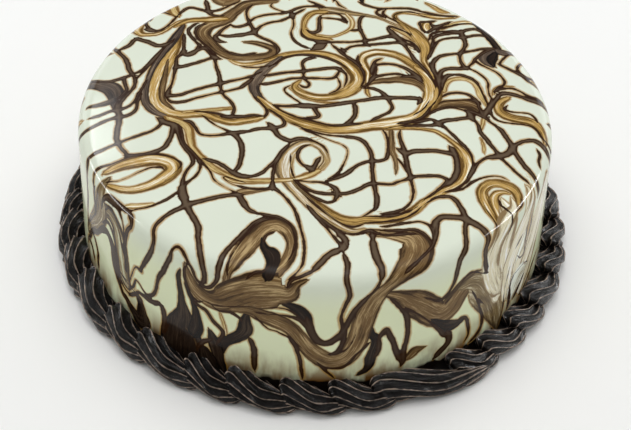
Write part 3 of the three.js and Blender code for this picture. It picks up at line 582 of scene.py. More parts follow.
     (-6.5, -131, 6.4), (-9.5, -127.5, 6.6), (-13, -125, 7.4), (-18, -122.5, 7.8), (-24, -120, 6.8),
     (-30, -117.4, 4.6), (-38, -116.5, 2.4)],
    ["dark", (45.8, -76.5, 2), (47.2, -78.5, 4), (46, -82, 4), (43.5, -86, 3), (41, -89, 1.5)],
    ["brown", (-53, -92, 2), (-54.5, -97.5, 4), (-54, -104, 6.5), (-50, -109.5, 8.5),
     (-42.5, -111.7, 11.8), (-34, -109.3, 15.3), (-26, -107.3, 16.8), (-20, -106.8, 17.2),
     (-14, -106.5, 15), (-9, -107, 8.5), (-5.5, -102.5, 3), (-2, -100.5, 1.5)],
    ["dark", (-12, -113, 2), (-8, -114.5, 4), (-4.5, -117, 5), (-2, -121, 5), (0, -126, 3)],
    ["dark", (-57.9, -94.3, 1.2), (-60.7, -97.1, 2), (-62.9, -101.4, 2.4), (-65, -106.4, 2.8),
     (-66.8, -110, 3.6), (-68.5, -114.5, 6), (-71, -119, 11), (-75, -124, 16), (-79, -129, 20),
     (-83, -134, 20), (-87, -138, 18)],
    ["dark", (-58.6, -101.4, 1.6), (-59.3, -106.4, 2), (-59.3, -110.7, 2.4), (-60, -115, 3),
     (-61.5, -119.5, 4), (-64, -124, 6), (-67.5, -127.3, 6)],
    ["dark", (-55, -138, 6), (-52, -135.5, 6), (-47, -134, 5), (-42, -133, 5), (-37, -131, 5.5),
     (-34, -128, 6), (-33, -124, 5), (-31.5, -120.5, 3)],
    ["dark", (-56.1, -127.5, 1.5), (-56, -131, 4), (-56, -136, 6), (-56.5, -142, 5), (-56, -150, 3.5)],
    ["dark", (-65, -138, 5), (-65, -142, 8), (-64, -147, 7)],
    ["dark", (32.1, -125, 1.2), (33, -128.5, 3.5), (36, -130.5, 4), (37, -134, 3.8), (36.5, -138, 3.5),
     (36.5, -142, 4.5), (37, -146, 4), (35.5, -149.5, 3), (32, -152, 2)],
    ["brown", (33, -105, 3), (41, -105.8, 6.7), (49, -108.2, 12.5), (58.8, -110.8, 12.6), (67.5, -112, 13),
     (72.2, -108.2, 12), (73.5, -100.5, 10.5), (75.5, -93, 9.5), (80, -90.5, 9)],
    ["umber", (73, -96, 4), (78, -92, 9), (84, -91, 14), (91, -91.5, 17), (99, -92.5, 17), (107, -94, 15),
     (114, -96, 12), (120, -98.5, 8), (125, -101, 3)],
    ["dark", (66, -116, 2), (72, -117, 4), (78, -117, 6), (83, -115, 5), (87, -111.5, 3)],
    ["brown", (58.6, -140.7, 1.5), (61.5, -138, 3.5), (63.5, -134.5, 5), (66.5, -132.5, 3), (69, -131, 1)],
    # These pale streaks down the right of the side are partly streaks in the glaze and partly a painted
    # glare of the light on that side.
    ["streaks", (77, -51, 1.5), (79, -57, 7), (83, -66, 12), (89, -76, 14), (98, -84, 12), (108, -90, 8)],
    ["streaks", (88, -42, 1.5), (93, -49, 9), (100, -59, 15), (108, -69, 15), (115, -79, 10), (119, -86, 5)],
    ["streaks", (103, -33, 9), (113, -45, 14), (121, -55, 15), (129, -65, 12), (133, -73, 6)],
    ["streaks", (81, -50, 1), (82, -55, 4), (79.5, -62, 8), (79, -70, 9), (81.5, -77, 10), (87, -83, 10),
     (95, -87, 9), (104, -89, 7)],
    ["streaks", (90, -41, 1), (92, -46, 4), (95, -56, 9), (99, -66, 10), (104, -76, 9), (111, -83, 7),
     (117, -88, 4)],
    ["streaks", (101, -30, 5), (108, -42, 10), (115, -52, 12), (121, -62, 9), (122, -70, 4)],
    ["white", (127, -61.5, 1), (125.5, -66, 7), (123, -71, 12), (122.8, -76, 13), (124.5, -81, 9),
     (127, -86.5, 2)],
    ["white", (100.5, -56, 1), (103, -60, 4), (106, -64.5, 6), (108.5, -68.5, 4), (109.5, -71, 1)],
    ["caramel", (74.8, -65.1, 1.5), (73, -60.9, 3), (70.9, -55.9, 4), (69.4, -50.9, 4.5),
     (69.1, -46.6, 4.5), (70.9, -43.4, 4.5), (73.7, -41.6, 4.5), (77.3, -41.6, 4.5), (80.9, -43.4, 4.5),
     (83, -45.9, 4), (84.1, -49.4, 3.5), (84.4, -52.3, 3)],
    ["caramel", (76.6, -63, 2), (75.1, -58.7, 3), (74, -54.4, 3.6), (73.8, -50.5, 3.6), (75.1, -47.8, 3.2),
     (77.6, -46.6, 2.4), (80, -47, 1.5)],
    ["grey", (93, -47, 3), (98.6, -51.4, 4), (102.9, -54.3, 4), (108.6, -57.9, 3.5), (112.9, -61.4, 2.5)],
    ["tan", (55.5, 17, 2), (56.4, 21, 2), (58.3, 24.4, 2.2), (62, 26, 2.2), (66, 25.4, 2), (69, 23, 2.2),
     (70.6, 19, 2.5), (71.5, 15, 3), (73, 11, 2.5), (73.5, 8, 1.5)],
    ["brown", (51.6, 4.3, 1.5), (53.7, 6.4, 3), (56.6, 7.9, 4.5), (60.1, 8.5, 5), (64.4, 8.3, 5.5),
     (67.7, 7, 5), (70, 4.6, 3.5), (71.2, 2.1, 2.5), (72.1, 0.7, 1.5)],
    ["tan", (71.8, -1, 1.5), (71.2, -4.3, 1.6), (70.2, -9, 1.2)],
    ["tan", (70.1, -14.3, 1), (70.9, -18.6, 1.2), (70.9, -22.9, 1)],
    ["caramel", (83, 14, 2.5), (80.1, 11.4, 3.5), (78.7, 7.9, 4), (79.4, 4.3, 4.5), (82.3, 1.4, 4.5),
     (86.6, 0, 4.5), (90.9, -0.7, 4.5), (94, -2.9, 4), (96.2, -6.4, 3), (97.3, -11, 2.5), (97.5, -14, 2)],
    ["tan", (76.8, 16.2, 1.2), (77.6, 19.6, 1.4), (80.5, 22, 1.2), (85.3, 22.3, 1)],
    ["dark", (-115, -95, 2.5), (-114.5, -100, 4), (-113, -105, 5), (-111, -110, 8), (-107, -112, 8),
     (-105, -108, 6), (-102.5, -104.5, 4), (-102, -101, 2.5)],
    ["tan", (-45.7, -118.6, 1), (-45.7, -124.3, 1.4), (-46.4, -130.7, 1)],
    ["brown", (-70, -136, 0.8), (-69.5, -130, 1.2), (-72, -125, 0.8)],
    ["dark", (-20, -80.2, 1.2), (-18.8, -84.8, 3.6), (-16.2, -87.8, 6), (-15.2, -91.2, 5.4),
     (-15.8, -95.5, 4.4), (-17, -98.5, 4.5)],

    # The far left and right of the side, drawn freely in the same manner
    ["umber", (149.8, -18.4, 2), (144.5, -10.1, 6), (135.9, 0, 9), (129.6, 9.1, 10), (131.6, 18.5, 9),
     (137.8, 29.3, 11), (143.1, 41, 12), (137.1, 49.9, 9), (125.1, 55.7, 6), (113.8, 60.5, 3)],
    ["brown", (100.9, 0, 2), (108.9, 1.9, 4), (115.7, 6.1, 6), (119, 14.6, 6), (116.1, 20.5, 5),
     (109.5, 23.3, 4), (104.3, 18.4, 3), (103.1, 12.7, 2)],
    ["caramel", (95.1, 27.3, 1.5), (102.5, 30.4, 3), (109.9, 33.6, 4.5), (116.5, 39, 5), (120.3, 46.2, 4),
     (123.3, 52.3, 2.5)],
    ["dark", (144.8, 5.1, 1.5), (150.7, 7.9, 4), (156.5, 10.9, 6), (162.5, 11.4, 7), (167.6, 10.3, 5)],
    ["tan", (149.4, 21, 1.5), (153.5, 27.1, 4), (156.1, 34.6, 6), (156.6, 44.9, 6), (152.1, 52.4, 4),
     (144.5, 58.4, 2)],
    ["brown", (-145.5, -20.4, 2), (-142.4, -12.5, 5), (-146.9, -2.6, 8), (-150.7, 7.9, 9),
     (-143.8, 17.7, 9), (-133.8, 23.6, 8), (-124.1, 30.9, 8), (-118.1, 40.7, 9), (-119.6, 53.2, 7),
     (-123.5, 65.7, 4), (-125.1, 75.1, 2)],
    ["caramel", (-100.7, -7, 2), (-108.8, -4.8, 4), (-116.8, -4.1, 5), (-124.7, -7.6, 5),
     (-130.3, -12.5, 3)],
    ["umber", (-98.1, 19.1, 2), (-105.3, 18.6, 4), (-111.8, 15.7, 5), (-114.5, 9, 5), (-110.8, 3.9, 4),
     (-104.8, 4.6, 3), (-101.5, 8.9, 2)],
    ["dark", (-132.8, 33.1, 1.5), (-140, 37.5, 4), (-148.7, 39.8, 6), (-157.1, 39.2, 6), (-163.6, 37.8, 4)],
    ["tan", (-159.9, 0, 1.5), (-162.7, 8.5, 4), (-161.9, 18.4, 5), (-157.9, 25, 3)],
]

# How each kind of ribbon looks: its light, middling and dark streaks
TONES = {
    "caramel": ("FCF8E0", "C4A05C", "64481E"),
    "tan": ("FEFAE6", "CEB478", "7C5A2A"),
    "brown": ("BCA274", "745A38", "3C2A18"),
    "umber": ("D6CBAA", "86724E", "503E28"),
    "grey": ("E6E2D2", "B29664", "56442E"),
    "smoke": ("93806A", "5C4D40", "2E2520"),
    "olive": ("D4D8B4", "94805A", "36240F"),
    # The streaks and white tones, paler than the glaze itself, are partly painted glare.
    "streaks": ("FFFFFC", "E8E0C0", "8C7450"),
    "white": ("FEFFF8", "F2F6E6", "A09070"),
    "dark": ("46382B", "281C14", "17100C"),
}
LINE_LAYERS = ("line_a", "line_b", "line_c", "line_d")
RIBBON_LAYERS = ("ribbon_a", "ribbon_b", "ribbon_c", "ribbon_d")
FAR = 50.0  # millimetres: further than any mark reaches
RIBBON_SPREAD = 1.12  # each ribbon spread by this factor while the glaze set

# In millimetres, how far outside a mark's edge the places are measured, and the room that two marks
# of one layer should leave each other
MEASURED = 3.0
LINE_ROOM = 1.3
RIBBON_ROOM = 1.5
AT_ONCE = 400000  # distances that are worked out together

# The top falls between these shares of the radius, and the side falls with it from this share of the
# height up.
DOME_FROM = 0.6
DOME_TO = 1.2
DOME_UP_FROM = 0.3

# The back of the cake carries the front's marks, turned half round.
BACK_GROUPS = ("left of the front", "front of the top", "front of the side", "left of the side")
BACK_TOP_FROM = 80.0  # millimetres behind the middle
BACK_SIDE_FROM = 34.0
SIDE_FROM = 106.0  # millimetres from the middle, over the rim, at which the side has begun

# Where each shell's head starts, in degrees counter-clockwise from +X, seen from above
FIRST_JOINT = -56.5
LAST_PAST = 4.0  # the last shell's tail lies over the first shell's head
RIGHT_JOINTS = (-47, -36.9, -27.9, -16.8, -7.4, 2.3)
BACK_SHELLS = 15
LEFT_JOINTS = (173.8, 181.7, 191.6, 203.1, 216.9, 227.8, 241.4, 251.8, 263.9, 274.9, 285.9)
SHELL_SEED = 8
SIZE_SPREAD = 0.05  # shells differ by this share

# How a shell is shaped, with shares of its length from one joint to the next
HEAD_BACK = 0.15  # a head starts this share behind the joint
HEAD_FULL = 0.16  # and is at its fullest this share past it
TAIL_PAST = 0.1  # the tail ends this share past the next joint, inside the next head
TAIL_ROUND = 0.4  # share over which it rounds off
BLUNT = 0.0004  # keeps the two ends from closing to a point
HEAD_OUT = 3.4 * MM  # from the wall to the middle of a head
HEAD_UP = 7.2 * MM  # and from the table
TAIL_LOWER = 1 * MM  # a tail's middle is lower by this, before its height is scaled
LAST_TAIL = (0.3, 0.8, 11.5 * MM)  # the last tail's width, height and distance out
NARROWS_FROM = 0.35  # a shell grows narrower from this share on,
LOWERS_FROM = 0.2  # lower from this one
LEAVES_FROM = 0.1  # and away from the wall from this one
WOUND_BY = 0.62  # its ridges have wound outward by this share
SLOW_START = 1.35  # over 1, they start to wind slowly
WIND_BACK = (0.55, 1.05)  # and they wind back in between these shares
JOINT_HEIGHT = 14 * MM  # the height of a head's top, at which the joints are where the angles say
JOINT_LEAN = 0.45  # a head leans back over the tail behind it: run over rise
INTO_WALL = 0.5 * MM  # how far a shell may press into the glaze
AROUND_STEPS = 12  # vertices from one crest to the next
ALONG_STEPS = 72

SKY = (0.93, 0.97, 1)  # daylight, a little blue

# The camera and what it looks at, in metres from the cake's middle on the floor
CAMERA_PLACE = (0, -0.7079, 0.6587)
CAMERA_AIM = (0.0013, 0.0118, 0)


def linear(hex_text):
    """The linear colour of an sRGB hex value."""
    shares = [int(hex_text[i:i + 2], 16) / 255 for i in (0, 2, 4)]
    return tuple(s / 12.92 if s <= 0.04045 else ((s + 0.055) / 1.055) ** 2.4 for s in shares)


def node(tree, kind, inputs=None, out=0, **settings):
    """Adds a node with its settings and inputs, each a value or a link, and returns an output."""
    made = tree.nodes.new(kind)
    for name, value in settings.items():
        setattr(made, name, value)
    for key, value in (inputs or {}).items():
        if isinstance(value, bpy.types.NodeSocket):
            tree.links.new(value, made.inputs[key])
        else:
            made.inputs[key].default_value = value
    return made.outputs[out]


def set_steps(socket, stops):
    """Gives a ramp one even colour from each position to the next, given a socket of its node."""
    ramp = socket.node.color_ramp
    ramp.interpolation = "CONSTANT"
    while len(ramp.elements) < len(stops):
        ramp.elements.new(0.5)
    for element, (position, colour) in zip(ramp.elements, stops):
        element.position = position
        element.color = colour


def new_material(name):
    """An empty material, its tree and its Principled shader."""
    material = bpy.data.materials.new(name)
    material.use_nodes = True
    tree = material.node_tree
    return material, tree, tree.nodes["Principled BSDF"]


class GlazeSettings(bpy.types.PropertyGroup):
    rim_radius: bpy.props.FloatProperty(
        name="Rim radius", description="Rounding of the cake's top edge", default=6 * MM,
        unit="LENGTH")
    dome: bpy.props.FloatProperty(
        name="Dome", description="How far the top would fall by the rim and beyond", default=2 * MM,
        unit="LENGTH")
    mesh_step: bpy.props.FloatProperty(
        name="Mesh step", description="Spacing of the glaze's vertices", default=1.15 * MM,
        unit="LENGTH")
    ivory: bpy.props.FloatVectorProperty(
        name="Ivory", description="Colour of the white glaze", default=linear("E2E9D8"),
        subtype="COLOR")
    # The glaze turns toward this yellower colour down the side.
    side_ivory: bpy.props.FloatVectorProperty(
        name="Side ivory", description="Colour of the thinner glaze down the side",
        default=linear("E9F0CA"), subtype="COLOR")
    chocolate: bpy.props.FloatVectorProperty(
        name="Chocolate", description="Colour of the drawn chocolate lines",
        default=linear("301A0A"), subtype="COLOR")
    thin_chocolate: bpy.props.FloatVectorProperty(
        name="Thin chocolate", description="Colour where a line of chocolate is broad and thin",
        default=linear("655441"), subtype="COLOR")
    amber: bpy.props.FloatVectorProperty(
        name="Amber", description="Colour that bleeds from a line into the white",
        default=linear("B2853A"), subtype="COLOR")
    stain: bpy.props.FloatVectorProperty(
        name="Stain", description="Colour of the smudges low on the side", default=linear("7E5628"),
        subtype="COLOR")
    # Near-black colour given to the glaze at its foot, where it shows between the shells.
    dark_foot: bpy.props.FloatVectorProperty(
        name="Smear", description="Colour of the cream smeared on the foot", default=linear("17100D"),
        subtype="COLOR")


class ShellSettings(bpy.types.PropertyGroup):
    half_width: bpy.props.FloatProperty(
        name="Half width", description="Half of the pipe's width", default=6.9 * MM, unit="LENGTH")
    half_height: bpy.props.FloatProperty(
        name="Half height", description="Half of the pipe's height", default=7.4 * MM, unit="LENGTH")
    ridge_depth: bpy.props.FloatProperty(
        name="Ridge depth", description="Depth of the grooves of the star nozzle", default=1.5 * MM,
        unit="LENGTH")
    ridges: bpy.props.IntProperty(name="Ridges", description="Teeth of the star nozzle", default=9)
    ridge_turn: bpy.props.FloatProperty(
        name="Ridge turn", description="How far a ridge winds outward along a shell",
        default=math.radians(44), subtype="ANGLE")
    ridge_return: bpy.props.FloatProperty(
        name="Ridge return", description="How far it winds back in before the joint",
        default=math.radians(30), subtype="ANGLE")
    back_turn: bpy.props.FloatProperty(
        name="Back turn", description="How far a ridge winds over the back of a head",
        default=math.radians(15), subtype="ANGLE")
    head_scale: bpy.props.FloatProperty(
        name="Head scale", description="Size of a head's start against the pipe's", default=0.93,
        subtype="FACTOR")
    tail_width: bpy.props.FloatProperty(
        name="Tail width", description="Width of a tail against the pipe's", default=0.62,
        subtype="FACTOR")
    tail_height: bpy.props.FloatProperty(
        name="Tail height", description="Height of a tail against the pipe's", default=0.66,
        subtype="FACTOR")
    tail_out: bpy.props.FloatProperty(
        name="Tail out", description="Distance from the wall to the middle of a tail", default=7.4 * MM,
        unit="LENGTH")
    cream: bpy.props.FloatVectorProperty(
        name="Cream", description="Colour of the piped chocolate cream", default=linear("0F0C0B"),
        subtype="COLOR")
    # The crest colour is a painted highlight on the edges of the ridges.
    crest: bpy.props.FloatVectorProperty(
        name="Crest", description="Colour of the dried edges of the ridges", default=linear("AC9888"),
        subtype="COLOR")


class StageSettings(bpy.types.PropertyGroup):
    floor_colour: bpy.props.FloatVectorProperty(
        name="Floor", description="Colour of the floor", default=linear("F4F4F2"), subtype="COLOR")
    floor_size: bpy.props.FloatProperty(
        name="Floor size", description="Width of the floor", default=6.0, unit="LENGTH")
    lens: bpy.props.FloatProperty(
        name="Lens", description="Focal length in millimetres", default=122.59, unit="CAMERA")
    roll: bpy.props.FloatProperty(
        name="Roll", description="How far the camera leans", default=math.radians(1.715),
        subtype="ANGLE")


def smooth(share, start, end):
    """A smooth step from 0 at start to 1 at end."""
    t = np.clip((share - start) / (end - start), 0, 1)
    return t * t * (3 - 2 * t)


def wall_radius(angle):
    """The cake's radius, in metres, toward an angle."""
    return CAKE_RADIUS + OVAL * np.cos(2 * (angle - OVAL_TOWARD))


def round_cake(angle, radius, height):
    """Places at these angles round the cake's axis, distances from it and heights, in metres."""
    across = MIDDLE.x + radius * np.cos(angle)
    deep = MIDDLE.y + radius * np.sin(angle)
    return np.column_stack((across, deep, height))


def on_glaze(plan, rim_radius):
    """Plan points in millimetres, unrolled over the rim and down the side, as places in metres."""
    reach = np.hypot(plan[:, 0], plan[:, 1]) * MM
    angle = np.arctan2(plan[:, 1], plan[:, 0])
    flat = CAKE_RADIUS - rim_radius
    bend = np.clip((reach - flat) / rim_radius, 0, math.pi / 2)
    radius = np.minimum(reach, flat) + rim_radius * np.sin(bend)
    drop = np.maximum(0, reach - flat - rim_radius * math.pi / 2)
    height = CAKE_HEIGHT - rim_radius * (1 - np.cos(bend)) - drop
    return round_cake(angle, radius * wall_radius(angle) / CAKE_RADIUS, height)


def smooth_path(points):
    """A smooth curve through the points, with a step of about a millimetre."""
    p = np.array(points, float)
    p = np.vstack((2 * p[0] - p[1], p, 2 * p[-1] - p[-2]))
    pieces = []
    for a, b, c, d in zip(p[:-3], p[1:-2], p[2:-1], p[3:]):
        steps = max(1, math.ceil(np.hypot(*(c - b)[:2])))
        t = np.linspace(0, 1, steps, endpoint=False)[:, None]
        pieces.append(0.5 * (2 * b + (c - a) * t + (2 * a - 5 * b + 4 * c - d) * t ** 2
                             + (3 * b - a - 3 * c + d) * t ** 3))
    return np.vstack(pieces + [p[-2]])


def measure(places, normals, path, widths, reach):
    """Which places lie near a path, and for them, in millimetres: how far across it, its half width
    there, how far outside its edge, and how far along."""
    low = path.min(0) - reach
    high = path.max(0) + reach
    near = np.nonzero(((places > low) & (places < high)).all(1))[0]
    start = path[:-1]
    run = path[1:] - start
    length = np.maximum(np.linalg.norm(run, axis=1), 1e-9)
    before = np.concatenate(([0], np.cumsum(length)[:-1]))
    rows = []
    for chunk in np.array_split(near, max(1, len(near) * len(start) // AT_ONCE)):
        gap = places[chunk][:, None] - start
        share = np.clip((gap * run).sum(2) / length ** 2, 0, 1)
        gap -= share[:, :, None] * run
        distance = np.linalg.norm(gap, axis=2)
        best = distance.argmin(1)
        row = np.arange(len(chunk))
        share = share[row, best]
        side = np.cross(run[best], gap[row, best])
        across = distance[row, best] * np.where((side * normals[chunk]).sum(1) < 0, -1, 1) / MM
        half = (widths[best] * (1 - share) + widths[best + 1] * share) / 2
        along = (before[best] + share * length[best]) / MM
        rows.append(np.column_stack((across, half, np.abs(across) - half, along)))
    return near, np.vstack(rows)


def first_free(layers, near, edge, room):
    """The number of the first layer in which no other mark comes near, or else the emptiest."""
    clashes = [np.count_nonzero((layer[near, 2] < room) & (edge < room)) for layer in layers]
    return clashes.index(min(clashes))


def turned_back(points):
    """The longest stretch of a front mark that, turned half round, lies on the back."""
    runs = [[]]
    for x, y, *width in points:
        behind = -y > BACK_TOP_FROM or (math.hypot(x, y) > SIDE_FROM and -y > BACK_SIDE_FROM)
        if behind:
            runs[-1].append((-x, -y, *width))
        elif runs[-1]:
            runs.append([])
    return max(runs, key=len)


def all_lines():
    """Each chocolate line's width and points, with its copy on the back where it has one."""
    for name, lines in LINES.items():
        for width, *points in lines:
            copies = [points]
            if name in BACK_GROUPS:
                copies.append(turned_back(points))
            for copy in copies:
                if len(copy) > 1:
                    yield width, copy


def line_layers(places, normals, rim_radius):
    """For each layer of lines, each place's way across the nearest line, as measured."""
    layers = [np.full((len(places), 3), FAR) for _ in LINE_LAYERS]
    for width, points in all_lines():
        plan = smooth_path(points)
        path = on_glaze(plan, rim_radius)
        # A line runs out over its last two millimetres to half its width.
        from_end = np.minimum(np.arange(len(plan)), np.arange(len(plan))[::-1])
        widths = width * np.clip(0.5 + 0.25 * from_end, 0.5, 1)
        near, rows = measure(places, normals, path, widths, (width + MEASURED) * MM)
        layer = layers[first_free(layers, near, rows[:, 2], LINE_ROOM)]
        closer = rows[:, 2] < layer[near, 2]
        layer[near[closer]] = rows[closer, :3]
    return layers


def ribbon_layers(places, normals, rim_radius):
    """For each layer of ribbons, each place's way across and along the nearest ribbon, with the number
    of its tone and its own."""
    layers = [np.full((len(places), 6), FAR) for _ in RIBBON_LAYERS]
    tones = list(TONES)
    for number, (tone, *points) in enumerate(RIBBONS):
        back = turned_back(points)
        for copy in (points, back) if len(back) > 2 else (points,):
            plan = smooth_path(copy)
            path = on_glaze(plan, rim_radius)
            widths = plan[:, 2] * RIBBON_SPREAD
            near, rows = measure(places, normals, path, widths, (widths.max() / 2 + MEASURED) * MM)
            layer = layers[first_free(layers, near, rows[:, 2], RIBBON_ROOM)]
            closer = rows[:, 2] < layer[near, 2]
            extra = np.tile((tones.index(tone), number), (len(near), 1))
            layer[near[closer]] = np.column_stack((rows, extra))[closer]
    return layers


def add_vectors(mesh, name, values):
    """Gives a mesh's vertices three numbers each, under a name that a material can read."""
    attribute = mesh.attributes.new(name, "FLOAT_VECTOR", "POINT")
    attribute.data.foreach_set("vector", np.ascontiguousarray(values, dtype=np.float32).ravel())


def place_in_mesh(piece):
    """Moves a piece's place, turn and size into its mesh."""
    bpy.ops.object.select_all(action="DESELECT")
    piece.select_set(True)
    bpy.context.view_layer.objects.active = piece
    bpy.ops.object.transform_apply(location=True, rotation=True, scale=True)


def select_only(mesh, items):
    """Selects, in object mode, just these edges or faces of a mesh."""
    for item in (*mesh.vertices, *mesh.edges, *mesh.polygons):
        item.select = False
    for item in items:
        item.select = True


def edges_where(mesh, wanted):
    """The edges that wanted is true for, given the heights of their ends."""
    heights = [vertex.co.z for vertex in mesh.vertices]
    return [edge for edge in mesh.edges if wanted(*(heights[i] for i in edge.vertices))]


def glaze_material(settings):
    """White chocolate glaze, poured liquid and set: glossy, level, with chocolate drawn through it."""
    material, tree, shader = new_material("poured_marbled_glaze")
    place = node(tree, "ShaderNodeTexCoord", out=3)

    # The edges of the chocolate waver by a few tenths of a millimetre over some 3 mm.
    waver = node(tree, "ShaderNodeTexNoise", {"Vector": place, "Scale": 330.0, "Detail": 2.0})
    waver = node(tree, "ShaderNodeMath", {0: waver, 1: 0.5}, operation="SUBTRACT")
    waver = node(tree, "ShaderNodeMath", {0: waver, 1: 0.8}, operation="MULTIPLY")

    # The white itself clouds very slightly from place to place.
    cloud = node(tree, "ShaderNodeTexNoise", {"Vector": place, "Scale": 28.0, "Detail": 2.0})
    cloud = node(tree, "ShaderNodeMapRange", {0: cloud, 1: 0.3, 2: 0.7, 3: 0.965, 4: 1.0})
    height = node(tree, "ShaderNodeSeparateXYZ", {0: place}, out=2)
    # Down the side the white turns yellower.
    down = node(tree, "ShaderNodeMapRange", {0: height, 1: CAKE_HEIGHT, 2: 0.66 * CAKE_HEIGHT},
                interpolation_type="SMOOTHSTEP")
    colour = node(tree, "ShaderNodeMix",
                  {0: down, 6: (*settings.ivory, 1), 7: (*settings.side_ivory, 1)}, out=2, data_type="RGBA")
    colour = node(tree, "ShaderNodeMix", {0: 1.0, 6: colour, 7: cloud}, out=2,
                  data_type="RGBA", blend_type="MULTIPLY")

    # Low on the side, chocolate has stained it in soft smudges that run down.
    low = node(tree, "ShaderNodeMapRange", {0: height, 1: 11 * MM, 2: 27 * MM, 3: 1.0, 4: 0.0})
    smudge = node(tree, "ShaderNodeVectorMath", {0: place, 1: (1, 1, 0.35)}, operation="MULTIPLY")
    smudge = node(tree, "ShaderNodeTexNoise", {"Vector": smudge, "Scale": 150.0, "Detail": 3.0})
    smudge = node(tree, "ShaderNodeMapRange", {0: smudge, 1: 0.34, 2: 0.6, 3: 0.0, 4: 1.0})
    smudge = node(tree, "ShaderNodeMath", {0: low, 1: smudge}, operation="MULTIPLY")
    colour = node(tree, "ShaderNodeMix", {0: smudge, 6: colour, 7: (*settings.stain, 1)}, out=2,
                  data_type="RGBA")

    # At its foot the glaze is made near-black, up to an uneven edge 8 to 13 mm high, where it shows between
    # the shells.
    foot = node(tree, "ShaderNodeTexNoise", {"Vector": place, "Scale": 90.0, "Detail": 2.0})
    foot = node(tree, "ShaderNodeMath", {0: foot, 1: -12 * MM, 2: height}, operation="MULTIPLY_ADD")
    foot = node(tree, "ShaderNodeMapRange", {0: foot, 1: 4 * MM, 2: 5.2 * MM, 3: 1.0, 4: 0.0})
    colour = node(tree, "ShaderNodeMix", {0: foot, 6: colour, 7: (*settings.dark_foot, 1)}, out=2,
                  data_type="RGBA")

    # Chocolate of all the marks bled amber into the white round them.
    edges = {name: mark_edge(tree, name, waver) for name in LINE_LAYERS + RIBBON_LAYERS}
    bleed = lowest(tree, edges.values())
    bleed = node(tree, "ShaderNodeMapRange", {0: bleed, 1: 0.1, 2: 0.85, 3: 0.8, 4: 0.0})
    colour = node(tree, "ShaderNodeMix", {0: bleed, 6: colour, 7: (*settings.amber, 1)}, out=2,
                  data_type="RGBA")
    for name in RIBBON_LAYERS:
        colour = ribbon_colour(tree, name, colour, edges[name])

    # Lines of every layer count as one and fill out where they cross, as liquid does. They run thick
    # and thin in stretches of about 15 mm, and are drawn out narrower on a ribbon. On the top they
    # spread thin and paler; down the side they are painted darker, as painted shade for the less lit side.
    edge = lowest(tree, [edges[name] for name in LINE_LAYERS], "SMOOTH_MIN")
    uneven = node(tree, "ShaderNodeTexNoise", {"Vector": place, "Scale": 65.0, "Detail": 1.0})
    uneven = node(tree, "ShaderNodeMapRange", {0: uneven, 1: 0.3, 2: 0.7, 3: -0.3, 4: 0.4})
    edge = node(tree, "ShaderNodeMath", {0: edge, 1: uneven}, operation="ADD")
    sunk = lowest(tree, [edges[name] for name in RIBBON_LAYERS])
    sunk = node(tree, "ShaderNodeMapRange", {0: sunk, 1: -1.8, 2: -0.5, 3: 0.35, 4: 0.0})
    edge = node(tree, "ShaderNodeMath", {0: edge, 1: sunk}, operation="ADD")
    # Painted shade: down the side the lines take less of the thin colour, so they stay darker.
    most = node(tree, "ShaderNodeMapRange", {0: down, 3: 0.9, 4: 0.25})
    depth = node(tree, "ShaderNodeMapRange", {0: edge, 1: -1.3, 2: -0.45, 3: most, 4: 0.0})
    line = node(tree, "ShaderNodeMix",
                {0: depth, 6: (*settings.chocolate, 1), 7: (*settings.thin_chocolate, 1)}, out=2,
                data_type="RGBA")
    covered = node(tree, "ShaderNodeMapRange", {0: edge, 1: -0.16, 2: 0.16, 3: 1.0, 4: 0.0},
                   interpolation_type="SMOOTHSTEP")
    colour = node(tree, "ShaderNodeMix", {0: covered, 6: colour, 7: line}, out=2, data_type="RGBA")
    tree.links.new(colour, shader.inputs["Base Color"])

    # It set a little uneven: swells of about 12 mm and ripples of 1.5 mm, far too shallow to see but
    # for the gloss.
    swell = node(tree, "ShaderNodeTexNoise", {"Vector": place, "Scale": 85.0, "Detail": 1.0})
    bump = node(tree, "ShaderNodeBump", {"Height": swell, "Strength": 0.25, "Distance": 0.25 * MM})
    ripple = node(tree, "ShaderNodeTexNoise", {"Vector": place, "Scale": 700.0, "Detail": 2.0})
    bump = node(tree, "ShaderNodeBump",
                {"Height": ripple, "Normal": bump, "Strength": 0.2, "Distance": 0.06 * MM})
    tree.links.new(bump, shader.inputs["Normal"])
    shader.inputs["Roughness"].default_value = 0.14
    shader.inputs["IOR"].default_value = 1.45
    shader.inputs["Specular IOR Level"].default_value = 0.15
    return material


def mark_edge(tree, name, waver):
    """How far a place is outside the marks of a layer, in millimetres. Vertices are too far apart for
    thin marks, so it is worked out again from the place across the mark, which changes evenly."""
    layer = node(tree, "ShaderNodeAttribute", out=1, attribute_name=name)
    across = node(tree, "ShaderNodeSeparateXYZ", {0: layer})
    half = across.node.outputs[1]
    outside = across.node.outputs[2]

    # Past the end of a mark the place across it jumps from side to side, as if the mark went on there,
    # so the distance that was measured is a guard against that.
    inner = node(tree, "ShaderNodeMath", {0: across}, operation="ABSOLUTE")
    inner = node(tree, "ShaderNodeMath", {0: inner, 1: half}, operation="SUBTRACT")
    guard = node(tree, "ShaderNodeMath", {0: outside, 1: 0.6}, operation="SUBTRACT")
    edge = node(tree, "ShaderNodeMath", {0: inner, 1: guard}, operation="MAXIMUM")
    return node(tree, "ShaderNodeMath", {0: edge, 1: waver}, operation="ADD")


def lowest(tree, sockets, operation="MINIMUM"):
    """The lowest of several sockets. SMOOTH_MIN rounds the corners between them, over about 2 mm."""
    first, *rest = sockets
    for socket in rest:
        first = node(tree, "ShaderNodeMath", {0: first, 1: socket, 2: 2.4}, operation=operation)
    return first


